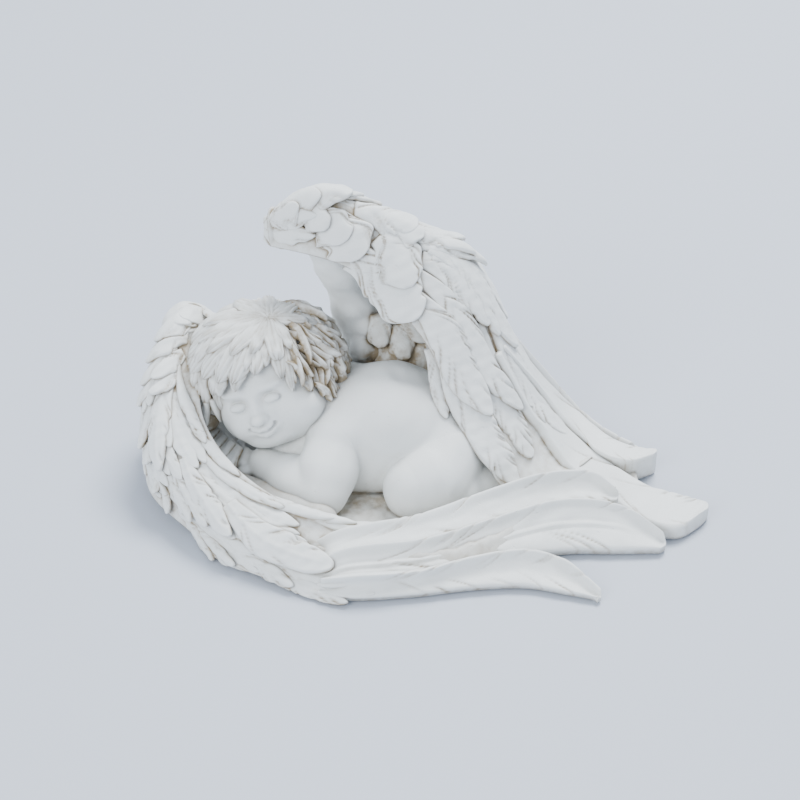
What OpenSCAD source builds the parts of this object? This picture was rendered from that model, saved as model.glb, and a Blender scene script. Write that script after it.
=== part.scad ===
// Sleeping cherub curled up between two large feathered wings, cast in resin.
// Millimetres. X runs along the figurine from the head end to the feather tips,
// Y runs from the front wing to the raised rear wing, and Z is up. The origin is
// on the surface that the figurine rests on, under the middle of its outline.

/* [Base] */
// Thickness of the felt sheet glued under the base
felt_thickness = 0.8; // [0.5:0.1:1.5]
// How far the felt stays inside the outline of the base
felt_inset = 4; // [3:0.5:6]
// Thickness of the nest base that the cherub lies on
base_thickness = 3.2; // [2.5:0.1:4]

/* [Cherub] */
// Radius of the skull without its hair
head_radius = 16.5; // [15.5:0.25:17]
// Girth of the torso, as a factor
torso_girth = 1; // [0.95:0.01:1.05]
// Girth of the arms and legs, as a factor
limb_girth = 1; // [0.95:0.01:1.05]
// How far the locks of hair stand off the skull
hair_depth = 3; // [2:0.25:4]
// Locks in the fullest ring of hair
locks_per_ring = 10; // [9:1:12]

/* [Wings] */
// Thickness of the solid web that carries the feathers
web_thickness = 3.4; // [2.6:0.2:4]
// Thickness of one covert feather at its quill
covert_thickness = 1.2; // [0.8:0.1:1.6]
// Thickness of one long flight feather at its quill
flight_thickness = 1.9; // [1.4:0.1:2.4]

/* [Hidden] */

skin = "#e9e7e2";
feather = "#eeece8";
shade = "#e2dfd8";
felt = "#3c3a38";

// Middle of the outline in the sculpted coordinates, which becomes the origin
centre = [-0.65, 4.95, 0];
// Facets round a limb, and round a finger or a toe
limb_facets = 16;
fine_facets = 8;
// Lowest height of any resin above the resting surface
ground = felt_thickness;
floor_top = ground + base_thickness;

// Each wing is a curved sheet through three rails of matching points:
// its inner rim, its crest and its outer rim, from the wrist to the feather tips.
rear_inner_rim = [[-41, 28, 67], [-21, 24, 63], [-8, 19, 54], [2, 13, 43],
    [9, 5, 28], [17, -2, 17], [27, -5, 7], [66, -14, 3]];
rear_crest = [[-41, 33, 76], [-26, 33, 82], [-6, 36, 72], [13, 37, 59],
    [26, 30, 36], [36, 25, 19], [50, 17, 8], [78, 2, 3]];
rear_outer_rim = [[-36, 38, 68], [-24, 43, 55], [-19, 47, 32], [-4, 50, 12],
    [18, 47, 5], [32, 42, 4], [46, 35, 4], [66, 21, 3]];
front_inner_rim = [[-58, 36, 40], [-60, 28, 40], [-61, 14, 31], [-58, 2, 25],
    [-48, -10, 19], [-32, -20, 15], [-12, -22, 10.5], [8, -16, 10],
    [28, -5, 11.5], [44, -3, 9.5]];
front_crest = [[-67, 36, 46], [-71, 28, 42], [-75, 14, 30], [-71, -1, 20],
    [-59, -15, 14], [-41, -27, 10], [-14, -31, 7.5], [8, -26, 6],
    [28, -15, 6], [46, -10, 5.5]];
front_outer_rim = [[-73, 38, 18], [-77, 30, 12], [-78, 16, 7], [-75, 1, 4],
    [-64, -13, 3], [-48, -29, 2], [-18, -40, 2], [8, -34, 2],
    [28, -25, 2], [46, -18, 2]];
// The three long front feathers are small sheets of their own
front_upper_flight = [
    [[-18, -25, 12], [0, -20, 12], [16, -11.5, 13], [32, -4, 14.5], [46, -1.5, 13.5],
        [52, -6, 11]],
    [[-20, -29, 11.5], [0, -24, 12], [16, -16, 12], [32, -8.5, 12], [44, -6, 11.5],
        [53, -7.5, 10]],
    [[-22, -33, 9], [0, -29, 8.5], [16, -21, 8], [32, -13, 8], [44, -10, 9],
        [52, -9, 9]]];
front_middle_flight = [
    [[-20, -31, 10], [0, -26.5, 10], [18, -18, 10], [36, -11, 10.5], [52, -11, 9],
        [63, -17, 5]],
    [[-20, -35, 8.5], [0, -31, 8], [18, -23, 7.5], [36, -16.5, 8], [52, -16, 7],
        [65, -19.5, 3.5]],
    [[-20, -39, 4], [0, -35, 3.5], [18, -28, 3], [36, -22.5, 2.5], [52, -22, 2.5],
        [63, -21.5, 2.5]]];
front_lower_flight = [
    [[-18, -36, 7], [-2, -34, 6.5], [12, -29, 6.5], [26, -26, 6.5], [37, -29, 5],
        [45, -37.5, 2.5]],
    [[-18, -39, 5], [-2, -37, 5], [12, -33, 5], [26, -31, 5], [37, -34.5, 3.8],
        [46, -40, 2]],
    [[-18, -41, 2], [-2, -39.5, 2], [12, -37, 2], [26, -36, 2], [37, -38.5, 2],
        [45, -40.5, 2]]];
// The last value is the side of the sheet that its feathers lie on
rear_wing = [rear_inner_rim, rear_crest, rear_outer_rim, 1];
front_wing = [front_inner_rim, front_crest, front_outer_rim, -1];

base_corners = [[-72, 20], [-69, 2], [-58, -14], [-40, -26], [-18, -35], [10, -32],
    [30, -20], [46, -12], [57, -3], [60, 10], [54, 25], [30, 40],
    [4, 46], [-22, 47], [-48, 42], [-66, 36]];

skull = [-41, 22, 32];

// ---- curves and sheets ----

function unit(v) = v / max(norm(v), 1e-6);

// Smooth curve through all the points of p, with t from 0 to 1
function spline(p, t) =
    let (last = len(p) - 1)
    let (s = min(max(t, 0), 1) * last)
    let (k = min(floor(s), last - 1))
    let (f = s - k)
    let (a = p[max(k - 1, 0)], b = p[k], c = p[k + 1], d = p[min(k + 2, last)])
    0.5 * (2 * b + (c - a) * f + (2 * a - 5 * b + 4 * c - d) * f * f
        + (3 * b - a - 3 * c + d) * f * f * f);

// Smooth closed curve through the points of p
function ring_spline(p, t) =
    let (n = len(p), k = floor(t * n), f = t * n - k)
    let (a = p[(k + n - 1) % n], b = p[k % n], c = p[(k + 1) % n], d = p[(k + 2) % n])
    0.5 * (2 * b + (c - a) * f + (2 * a - 5 * b + 4 * c - d) * f * f
        + (3 * b - a - 3 * c + d) * f * f * f);

// Point of a wing's sheet: u runs wrist to tips, v runs inner to outer rim
function on_sheet(wing, u, v) =
    spline(wing[0], u) * (2 * (v - 0.5) * (v - 1))
    + spline(wing[1], u) * (4 * v * (1 - v))
    + spline(wing[2], u) * (2 * v * (v - 0.5));

function sheet_normal(wing, u, v) =
    let (e = 0.01, uu = min(u, 1 - e))
    let (along = on_sheet(wing, uu + e, v) - on_sheet(wing, max(uu - e, 0), v))
    let (across = on_sheet(wing, uu, v + e) - on_sheet(wing, uu, v - e))
    wing[3] * unit(cross(along, across));

function above_ground(p) = [p[0], p[1], max(p[2], ground)];

// ---- feathers ----

long_blade = [0, 0.2, 0.4, 0.6, 0.8, 0.93, 1];
short_blade = [0, 0.5, 0.85, 1];

// Half width of a blade along its length: narrow quill, full vane, round tip
function blade_width(t) =
    t < 0.55 ? 0.62 + 0.38 * sin(90 * t / 0.55)
    : sqrt(max(1 - pow((t - 0.55) / 0.47, 2), 0.02));

// Six points round a feather at the fraction t of its length
function blade_ring(wing, root, tip, width, thick, lift, bow, t) =
    let (u = root[0] + (tip[0] - root[0]) * t)
    let (v = root[1] + (tip[1] - root[1]) * t + bow * sin(180 * t))
    let (n = sheet_normal(wing, u, v))
    let (ahead = root + (tip - root) * (t + 0.02))
    let (behind = root + (tip - root) * (t - 0.02))
    let (along = on_sheet(wing, ahead[0], ahead[1]) - on_sheet(wing, behind[0], behind[1]))
    let (side = unit(cross(n, along)))
    let (w = width / 2 * blade_width(t), c = on_sheet(wing, u, v) + n * (lift * t + 0.1))
    [for (p = [[-1, 0], [-0.5, 0.8], [0.5, 0.8], [1, 0], [0.5, -0.6], [-0.5, -0.6]])
        above_ground(c + side * w * p[0] + n * thick * p[1])];

prism_faces = concat(
    [[5, 4, 3, 2, 1, 0], [6, 7, 8, 9, 10, 11]],
    [for (i = [0 : 5]) [i, (i + 1) % 6, 6 + (i + 1) % 6, 6 + i]]);

module blade(wing, root, tip, width, thick, lift = 0.8, bow = 0, stations = long_blade) {
    for (i = [0 : len(stations) - 2])
        hull()
            polyhedron(
                points = concat(
                    blade_ring(wing, root, tip, width, thick, lift, bow, stations[i]),
                    blade_ring(wing, root, tip, width, thick, lift, bow, stations[i + 1])),
                faces = prism_faces);
}

// A row of equal feathers side by side across the sheet, every other row shifted
module feather_row(wing, from_u, to_u, count, width, thick, lift, low_v = 0, high_v = 1,
        shift = 0) {
    for (i = [0 : count - 1]) {
        v = low_v + (high_v - low_v) * (i + 0.5 + shift) / count;
        blade(wing, [from_u, v], [to_u + 0.012 * (i % 2), v], width, thick, lift,
            stations = short_blade);
    }
}

// ---- webs ----

web_steps = 16;
web_strips = 8;
flight_steps = 9;
flight_strips = 4;

function web_point(wing, u, v, depth) =
    above_ground(on_sheet(wing, u, v) - sheet_normal(wing, u, v) * depth
        * (0.35 + 0.65 * sin(180 * v)) * (1 - 0.6 * pow(u, 4)));

// A solid sheet of even steps, with its feathered side on the wing's own surface
module web(wing, thickness = web_thickness, steps = web_steps, strips = web_strips) {
    across = strips + 1;
    sheet = (steps + 1) * across;
    function face(depth) = [for (i = [0 : steps]) for (j = [0 : strips])
        web_point(wing, i / steps, j / strips, depth)];
    quads = concat(
        [for (i = [0 : steps - 1]) for (j = [0 : strips - 1])
            let (a = i * across + j)
            [a, a + 1, a + across + 1, a + across]],
        [for (i = [0 : steps - 1]) for (j = [0 : strips - 1])
            let (a = sheet + i * across + j)
            [a, a + across, a + across + 1, a + 1]],
        [for (i = [0 : steps - 1])
            let (a = i * across)
            [a, a + across, sheet + a + across, sheet + a]],
        [for (i = [0 : steps - 1])
            let (a = i * across + strips)
            [a + across, a, sheet + a, sheet + a + across]],
        [for (j = [0 : strips - 1])
            [j + 1, j, sheet + j, sheet + j + 1]],
        [for (j = [0 : strips - 1])
            let (a = steps * across + j)
            [a, a + 1, sheet + a + 1, sheet + a]]);
    polyhedron(points = concat(face(0), face(thickness)), faces = wing[3] > 0 ? quads
        : [for (q = quads) [q[3], q[2], q[1], q[0]]]);
}

// ---- rounded limbs ----

// A chain of balls joined into one rounded form: each item is [centre, radius]
module limb(balls, girth = 1, facets = limb_facets) {
    for (i = [0 : len(balls) - 2])
        hull() {
            translate(balls[i][0]) sphere(balls[i][1] * girth, $fn = facets);
            translate(balls[i + 1][0]) sphere(balls[i + 1][1] * girth, $fn = facets);
        }
}

// Everything under the top of the nest base
module underground() {
    translate([-100, -100, floor_top - 30]) cube([200, 200, 30]);
}

// ---- sculpted forms, before they are trimmed to their neighbours ----

module torso_form() {
    limb([[[-22, 16, 17], 13], [[-9, 15, 19], 15], [[2, 14, 18], 15]], torso_girth, 20);
    limb([[[2, 14, 18], 15], [[7, 8, 16], 12]], torso_girth, 20);
    limb([[[2, 14, 18], 15], [[7, 21, 16], 12]], torso_girth, 20);
    limb([[[-32, 19, 22], 9], [[-22, 16, 17], 13]], torso_girth, 20);
    limb([[[-21, 9, 19], 8.5], [[-22, 16, 17], 13]], torso_girth, 20);
    limb([[[-20, 27, 17], 9], [[-22, 16, 17], 13]], torso_girth, 20);
}

module head_form() {
    limb([[skull, head_radius], [skull - [0, 5, 6], head_radius - 3.5]], 1, 20);
    limb([[skull - [0, 5, 6], head_radius - 3.5], [[-42.5, 13, 24], 11.5]], 1, 20);
    limb([[[-42.5, 13, 24], 11], [[-43, 9.5, 19.5], 5.5]]);
    limb([[[-36, 12, 24], 8.5], [[-49.5, 12.5, 24.5], 7.5]]);
    // Bridge and tip of the nose
    limb([[[-44.6, 2.6, 27.8], 2], [[-44.2, 5, 31.5], 1.8]], 1, fine_facets);
    // Lips
    limb([[[-46.6, 3.4, 24], 1.4], [[-41.6, 3.2, 24.4], 1.4]], 1, fine_facets);
    // Brows
    limb([[[-50.5, 7, 33.5], 2], [[-46.5, 5, 34.2], 2]], 1, fine_facets);
    limb([[[-42, 4.8, 34.6], 2], [[-36, 6.6, 34.6], 2]], 1, fine_facets);
    // Ears
    limb([[[-25.5, 16, 27], 3], [[-25.8, 17, 31], 3]], 1, fine_facets);
    limb([[[-57, 20, 26], 3], [[-57.2, 21, 30], 3]], 1, fine_facets);
}

// One lock leaves the crown, hugs the skull and ends in a narrow tip
module lock(aim, swing, reach, width, lift) {
    steps = 3;
    for (i = [0 : steps - 1])
        hull()
            for (t = [i / steps, (i + 1) / steps])
                translate(skull)
                    rotate([0, 0, aim + swing * t])
                        rotate([0, 14 + reach * t, 0])
                            translate([0, 0, head_radius + lift + 0.25 * hair_depth * t])
                                rotate([0, 0, 11])
                                    scale([0.8, 1.15 - 0.75 * t, 0.42])
                                        sphere(width / 2, $fn = 7);
}

module hair_form() {
    // How far each ring of locks reaches from the crown, in degrees
    ring_reach = [34, 55, 76];
    for (ring = [0 : len(ring_reach) - 1])
        for (i = [0 : locks_per_ring - 1]) {
            aim = 360 * (i + 0.47 * ring + 0.13) / locks_per_ring;
            over_face = cos(aim + 97) > 0.35;
            if (ring == 0 || !over_face)
                lock(aim, 10 - 8 * (i % 3), ring_reach[ring], 10,
                    hair_depth * (0.45 + 0.06 * (i % 4)));
        }
    difference() {
        translate(skull + [0.9, 2.1, 1.4]) rotate([3, 5, 7]) sphere(head_radius + 1.6, $fn = 20);
        translate(skull + [-4, -16, -19]) rotate([-24, 0, 0]) cube([60, 36, 28], center = true);
        translate(skull + [-4, -24, -8]) rotate([-14, 0, -8]) cube([34, 30, 24], center = true);
    }
}

module left_arm_form() {
    limb([[[-24, 5, 18], 8], [[-26, -2, 13], 7.2], [[-27, -7, 9.5], 6.3],
        [[-35, -1, 9], 6], [[-44, 6, 9], 4.8]], limb_girth);
    limb([[[-44, 6, 9], 4.6], [[-50, 9, 9], 4]], limb_girth);
    for (finger = [0 : 3])
        limb([[[-49, 6.5 + 2.2 * finger, 9.6], 1.7],
            [[-54.5, 8 + 2.3 * finger, 8], 1.4]], 1, fine_facets);
}

module right_arm_form() {
    limb([[[-22, 28, 19], 8], [[-28, 34, 12], 7], [[-34, 35, 9], 6.2],
        [[-42, 28, 8.5], 5.4], [[-47, 20, 8], 4.6]], limb_girth);
    for (finger = [0 : 3])
        limb([[[-46 + 1.6 * finger, 19, 8], 1.7],
            [[-51 + 1.6 * finger, 14.5, 7], 1.4]], 1, fine_facets);
}

module left_leg_form() {
    limb([[[7, 4, 15], 11.5], [[3, -1, 13], 10.5], [[-3, -4, 10.5], 8.6],
        [[-3.5, -3.5, 8], 7]], limb_girth);
    limb([[[-3, -3.5, 7.5], 7], [[8, -2, 7], 6.2], [[17, 2.5, 6.5], 4.6]], limb_girth);
    limb([[[17, 2.5, 6.5], 4.4], [[23, 5.5, 6], 3.6]], limb_girth);
    for (toe = [0 : 4])
        limb([[[22.5, 2.6 + 1.7 * toe, 6], 1.5],
            [[26 - 0.5 * toe, 3 + 1.8 * toe, 5.6], 1.2]], 1, fine_facets);
}

module right_leg_form() {
    limb([[[7, 24, 15], 11.5], [[3, 30, 13], 10.5], [[-3, 32, 10.5], 8.6]], limb_girth);
    limb([[[-3, 31, 8], 6.8], [[8, 29, 7], 6], [[17, 24, 6.5], 4.6]], limb_girth);
    limb([[[18, 24, 6.5], 4.4], [[24, 21, 6], 3.6]], limb_girth);
    for (toe = [0 : 4])
        limb([[[23.5, 18.4 + 1.6 * toe, 6], 1.5],
            [[27, 18 + 1.7 * toe, 5.6], 1.2]], 1, fine_facets);
}

module rear_wing_arm_form() {
    limb([[[-10, 41, 10], 9], [[-15, 41, 24], 7.5], [[-19, 40, 40], 5.5],
        [[-23, 37, 56], 5.5], [[-30, 34, 70], 5]]);
    limb([[[-16, 35, 37], 3], [[-17, 33, 31], 3.4], [[-13.5, 34, 29], 2.8]], 1,
        fine_facets);
    // Shoulder feathers that fold down over the root
    for (i = [0 : 2])
        limb([[[-12 + 2 * i, 36 - i, 38 - 3 * i], 3],
            [[-6 + 3 * i, 33 - 1.5 * i, 29 - 3 * i], 3.6],
            [[3 * i, 30 - 1.5 * i, 25 - 3.5 * i], 2]], 1, fine_facets);
}

module front_wing_arm_form() {
    limb([[[-24, 42, 10], 7.5], [[-42, 43, 16], 6.5], [[-57, 40, 28], 5.5],
        [[-66, 36, 38], 4.6]]);
}

module rear_lesser_form() {
    for (row = [0 : 3])
        feather_row(rear_wing, 0.045 * row, 0.12 + 0.05 * row, 5, 8, covert_thickness, 1,
            -0.02, 1, 0.25 * (row % 2));
}

module rear_greater_form() {
    feather_row(rear_wing, 0.17, 0.36, 4, 12, covert_thickness + 0.2, 1.2);
    feather_row(rear_wing, 0.26, 0.48, 5, 12, covert_thickness + 0.2, 1, 0, 1, 0.1);
    feather_row(rear_wing, 0.36, 0.64, 5, 12.5, covert_thickness + 0.2, 0.8);
}

module rear_flight_form() {
    blade(rear_wing, [0.4, 0.12], [1, 0.2], 17, flight_thickness, 0.2);
    blade(rear_wing, [0.4, 0.38], [1.0, 0.5], 17, flight_thickness, 0.4);
    blade(rear_wing, [0.4, 0.64], [0.99, 0.86], 16, flight_thickness, 0.4);
    blade(rear_wing, [0.4, 0.9], [0.92, 1.0], 14, flight_thickness, 0.2);
}

module front_lesser_form() {
    for (row = [0 : 4])
        feather_row(front_wing, 0.042 * row, 0.1 + 0.045 * row, 4, 7, covert_thickness, 1,
            0, 1, 0.25 * (row % 2));
}

module front_greater_form() {
    feather_row(front_wing, 0.22, 0.4, 4, 7, covert_thickness, 0.8);
    feather_row(front_wing, 0.3, 0.51, 5, 6, covert_thickness, 0.8, 0, 1.06);
    feather_row(front_wing, 0.4, 0.645, 5, 6, covert_thickness, 0.9, 0, 1.12);
}

module front_flight_form() {
    for (sheet = [front_upper_flight, front_middle_flight, front_lower_flight])
        web(concat(sheet, [-1]), 1.6 * flight_thickness, flight_steps, flight_strips);
}

// ---- sub-parts ----

module place() {
    translate(-centre) children();
}

outline_steps = 64;
outline_middle = [-6, 8];

// The base's outline, drawn in towards its middle by the inset
module base_outline(inset = 0) {
    polygon([for (i = [0 : outline_steps - 1])
        let (p = ring_spline(base_corners, i / outline_steps))
        p - unit(p - outline_middle) * inset]);
}

module felt_pad() {
    color(felt) place() linear_extrude(felt_thickness) base_outline(felt_inset);
}

module nest_base() {
    color(shade) place()
        translate([0, 0, ground]) linear_extrude(base_thickness) base_outline();
}

module torso() {
    color(skin) place() difference() {
        torso_form();
        head_form();
        underground();
    }
}

module head() {
    color(skin) place() head_form();
}

module hair() {
    color(shade) place() difference() {
        hair_form();
        head_form();
        torso_form();
    }
}

module left_arm() {
    color(skin) place() difference() {
        left_arm_form();
        torso_form();
        head_form();
        underground();
    }
}

module right_arm() {
    color(skin) place() difference() {
        right_arm_form();
        left_arm_form();
        torso_form();
        head_form();
        hair_form();
        underground();
    }
}

module left_leg() {
    color(skin) place() difference() {
        left_leg_form();
        torso_form();
        left_arm_form();
        underground();
    }
}

module right_leg() {
    color(skin) place() difference() {
        right_leg_form();
        torso_form();
        left_leg_form();
        underground();
    }
}

module rear_wing_arm() {
    color(shade) place() difference() {
        rear_wing_arm_form();
        torso_form();
        right_leg_form();
        web(rear_wing);
        underground();
    }
}

module rear_wing_web() {
    color(shade) place() web(rear_wing);
}

module rear_wing_flight_feathers() {
    color(feather) place() difference() {
        rear_flight_form();
        web(rear_wing);
    }
}

module rear_wing_greater_coverts() {
    color(feather) place() difference() {
        rear_greater_form();
        web(rear_wing);
    }
}

module rear_wing_lesser_coverts() {
    color(feather) place() difference() {
        rear_lesser_form();
        web(rear_wing);
    }
}

module front_wing_arm() {
    color(shade) place() difference() {
        front_wing_arm_form();
        rear_wing_arm_form();
        web(front_wing);
        right_arm_form();
        hair_form();
        underground();
    }
}

module front_wing_web() {
    color(shade) place() web(front_wing);
}

module front_wing_flight_feathers() {
    color(feather) place() difference() {
        front_flight_form();
        web(front_wing);
        web(rear_wing);
    }
}

module front_wing_greater_coverts() {
    color(feather) place() difference() {
        front_greater_form();
        web(front_wing);
    }
}

module front_wing_lesser_coverts() {
    color(feather) place() difference() {
        front_lesser_form();
        web(front_wing);
    }
}

felt_pad();
nest_base();
torso();
head();
hair();
left_arm();
right_arm();
left_leg();
right_leg();
rear_wing_arm();
rear_wing_web();
rear_wing_lesser_coverts();
rear_wing_greater_coverts();
rear_wing_flight_feathers();
front_wing_arm();
front_wing_web();
front_wing_lesser_coverts();
front_wing_greater_coverts();
front_wing_flight_feathers();
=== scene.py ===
"""Looks of the sleeping cherub in its nest of two wings, cast in off-white resin.

Shapes are in millimetres, in the coordinates that the figurine is sculpted in. piece() takes a
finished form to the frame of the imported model: it subtracts CENTRE and scales to metres. Materials,
lights and the camera are in metres.
"""
import math

import bpy
import numpy as np
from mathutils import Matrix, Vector


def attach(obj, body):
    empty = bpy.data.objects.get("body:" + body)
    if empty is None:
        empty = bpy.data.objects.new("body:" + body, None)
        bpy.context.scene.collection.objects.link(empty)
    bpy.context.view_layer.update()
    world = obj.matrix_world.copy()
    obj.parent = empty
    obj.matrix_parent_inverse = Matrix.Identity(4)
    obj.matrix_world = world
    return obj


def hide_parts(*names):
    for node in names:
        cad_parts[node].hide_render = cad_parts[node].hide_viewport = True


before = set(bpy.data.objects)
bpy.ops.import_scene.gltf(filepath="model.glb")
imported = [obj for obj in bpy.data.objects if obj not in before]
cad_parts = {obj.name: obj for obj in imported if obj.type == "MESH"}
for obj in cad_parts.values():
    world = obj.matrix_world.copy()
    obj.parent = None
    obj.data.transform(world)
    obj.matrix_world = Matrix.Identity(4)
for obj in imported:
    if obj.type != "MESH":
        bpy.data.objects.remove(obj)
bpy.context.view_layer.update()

MM = 0.001
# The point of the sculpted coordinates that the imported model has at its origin
CENTRE = np.array([-0.65, 4.95, 0.0])
# Heights of the resin's underside, of the nest's floor, and of the limbs' ends inside that floor
GROUND = 0.8
FLOOR_TOP = 4.0
ROOTED = FLOOR_TOP - 0.8
COARSE = 1.0

# Rails of the two wings, from wrist to feather tips: inner rim, crest and outer rim
REAR_INNER_RIM = [(-41, 28, 67), (-21, 24, 63), (-8, 19, 54), (2, 13, 43), (9, 5, 28), (17, -2, 17),
                  (27, -5, 7), (66, -14, 3)]
REAR_CREST = [(-41, 33, 76), (-26, 33, 82), (-6, 36, 72), (13, 37, 59), (26, 30, 36), (36, 25, 19),
              (50, 17, 8), (78, 2, 3)]
REAR_OUTER_RIM = [(-36, 38, 68), (-24, 43, 55), (-19, 47, 32), (-4, 50, 12), (18, 47, 5),
                  (32, 42, 4), (46, 35, 4), (66, 21, 3)]
FRONT_INNER_RIM = [(-58, 36, 38), (-60, 28, 39), (-61, 14, 31), (-58, 2, 25), (-48, -10, 19),
                   (-32, -20, 15), (-12, -22, 10.5), (8, -16, 10), (28, -5, 11.5), (44, -3, 9.5)]
FRONT_CREST = [(-67, 36, 42.5), (-71, 28, 40.5), (-75, 14, 30), (-71, -1, 20), (-59, -15, 14),
               (-41, -27, 10), (-14, -31, 7.5), (8, -26, 6), (28, -15, 6), (46, -10, 5.5)]
FRONT_OUTER_RIM = [(-73, 38, 18), (-77, 30, 12), (-78, 16, 7), (-75, 1, 4), (-64, -13, 3),
                   (-48, -29, 2), (-18, -40, 2), (8, -34, 2), (28, -25, 2), (46, -18, 2)]

# Outline of the nest base, anticlockwise from the head end
BASE_CORNERS = [(-72, 20), (-69, 2), (-58, -14), (-40, -26), (-18, -35), (10, -32), (30, -20),
                (46, -12), (57, -3), (60, 10), (54, 25), (30, 40), (4, 46), (-22, 47), (-48, 42),
                (-66, 36)]


# ---- small maths ----

def unit(v):
    return v / np.maximum(np.linalg.norm(v, axis=-1, keepdims=True), 1e-9)


def smooth(x):
    """0 below 0, 1 above 1, with a soft step between."""
    x = np.clip(x, 0, 1)
    return x * x * (3 - 2 * x)


def bell(x, width):
    """1 at zero, with a soft fall over the width to either side."""
    return np.exp(-(x / width) ** 2)


def crowded(count):
    """Numbers from -1 to 1, closer together towards both ends."""
    return np.sin(np.linspace(-1, 1, count) * np.pi / 2 * 0.93) / math.sin(np.pi / 2 * 0.93)


def round_over(to_edge, radius):
    """0 at an edge, rising like a quarter circle to 1 at the radius from it."""
    return np.sqrt(1 - (1 - np.clip(to_edge / radius, 0, 1)) ** 2)


def run_length(points):
    return np.linalg.norm(np.diff(points, axis=0), axis=1).sum()


def compass(angle):
    """The point at an angle on a circle of radius 1."""
    return np.array([math.cos(angle), math.sin(angle)])


def keep_above(height, *grids):
    for grid in grids:
        grid[..., 2] = np.maximum(grid[..., 2], height)


def spline(points, t):
    """Smooth curve through the points for an array t from 0 to 1, carried on straight outside."""
    points = np.asarray(points, float)
    last = len(points) - 1
    inside = np.clip(t, 0, 1)
    k = np.minimum((inside * last).astype(int), last - 1)
    f = (inside * last - k)[..., None]
    a, b = points[np.maximum(k - 1, 0)], points[k]
    c, d = points[k + 1], points[np.minimum(k + 2, last)]
    curve = 0.5 * (2 * b + (c - a) * f + (2 * a - 5 * b + 4 * c - d) * f ** 2
                   + (3 * b - a - 3 * c + d) * f ** 3)
    slope = np.where((t < 0)[..., None], points[1] - points[0], points[-1] - points[-2])
    return curve + 0.5 * last * slope * (t - inside)[..., None]


def ring_spline(points, t):
    """Smooth closed curve through the points, for an array t from 0 to 1."""
    points = np.asarray(points, float)
    n = len(points)
    k = np.floor(t * n).astype(int)
    f = (t * n - k)[..., None]
    a, b, c, d = (points[(k + i) % n] for i in (-1, 0, 1, 2))
    return 0.5 * (2 * b + (c - a) * f + (2 * a - 5 * b + 4 * c - d) * f ** 2
                  + (3 * b - a - 3 * c + d) * f ** 3)


def ripples(p, wavelength, seed, waves=9):
    """Uneven soft bumps between about -1 and 1, the same at every run."""
    dice = np.random.default_rng(seed)
    total = np.zeros(p.shape[:-1])
    for _ in range(waves):
        heading = unit(dice.normal(size=p.shape[-1])) * 2 * np.pi / wavelength
        total += np.sin(p @ (heading * dice.uniform(0.6, 1.5)) + dice.uniform(0, 2 * np.pi))
    return total / math.sqrt(2 * waves)


# ---- sheets: curved surfaces that feathers and locks of hair lie on ----

class Sheet:
    """The surface through three rails: u runs along them, and v from the first to the third.

    side, 1 or -1, chooses the way that its normals point. step is the change of u or v that slopes
    are measured over.
    """

    step = 0.004

    def __init__(self, rails, side):
        self.rails = rails
        self.side = side

    def point(self, u, v):
        a, b, c = (spline(rail, u) for rail in self.rails)
        w = np.clip(v, 0, 1)
        x = w[..., None]
        over = (v - w)[..., None]
        on = a * 2 * (x - 0.5) * (x - 1) + b * 4 * x * (1 - x) + c * 2 * x * (x - 0.5)
        return on + over * (a * (4 * x - 3) + b * (4 - 8 * x) + c * (4 * x - 1))

    def slopes(self, u, v):
        e = self.step
        along = (self.point(u + e, v) - self.point(u - e, v)) / (2 * e)
        across = (self.point(u, v + e) - self.point(u, v - e)) / (2 * e)
        return along, across

    def normal(self, u, v):
        along, across = self.slopes(u, v)
        return self.side * unit(np.cross(along, across))


class Dome(Sheet):
    """The outside of the head of hair: u and v are millimetres from the top, right and forward."""

    centre = np.array([-43.5, 21.5, 32.0])
    radii = np.array([20.4, 18.2, 17.6])
    mean_radius = 20.0
    side = -1
    step = 0.3

    def __init__(self):
        pass

    def point(self, u, v):
        away = np.maximum(np.hypot(u, v), 1e-6)
        angle = away / self.mean_radius
        aim = np.stack([np.sin(angle) * u / away, -np.sin(angle) * v / away, np.cos(angle)], -1)
        return self.centre + aim * self.radii


REAR = Sheet([REAR_INNER_RIM, REAR_CREST, REAR_OUTER_RIM], 1)
FRONT = Sheet([FRONT_INNER_RIM, FRONT_CREST, FRONT_OUTER_RIM], -1)


# ---- meshes ----

def grid_quads(index):
    """Four-cornered faces over a table of vertex numbers."""
    return np.stack([index[:-1, :-1], index[1:, :-1], index[1:, 1:], index[:-1, 1:]],
                    -1).reshape(-1, 4)


def pillow(top, bottom, grime_top, grime_bottom):
    """A closed form from two grids of points that share their border."""
    rows, cols = top.shape[:2]
    upper = np.arange(rows * cols).reshape(rows, cols)
    lower = upper.copy()
    lower[1:-1, 1:-1] = rows * cols + np.arange((rows - 2) * (cols - 2)).reshape(rows - 2, cols - 2)
    points = np.concatenate([top.reshape(-1, 3), bottom[1:-1, 1:-1].reshape(-1, 3)])
    grime = np.concatenate([grime_top.ravel(), grime_bottom[1:-1, 1:-1].ravel()])
    return points, np.concatenate([grid_quads(upper), grid_quads(lower)[:, ::-1]]), grime


def volume(points, quads):
    """Six times the volume inside a closed form, below zero if it is inside out."""
    a, b, c, d = (points[quads[:, i]] for i in range(4))
    return (np.cross(a, b) * c).sum() + (np.cross(a, c) * d).sum()


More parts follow.
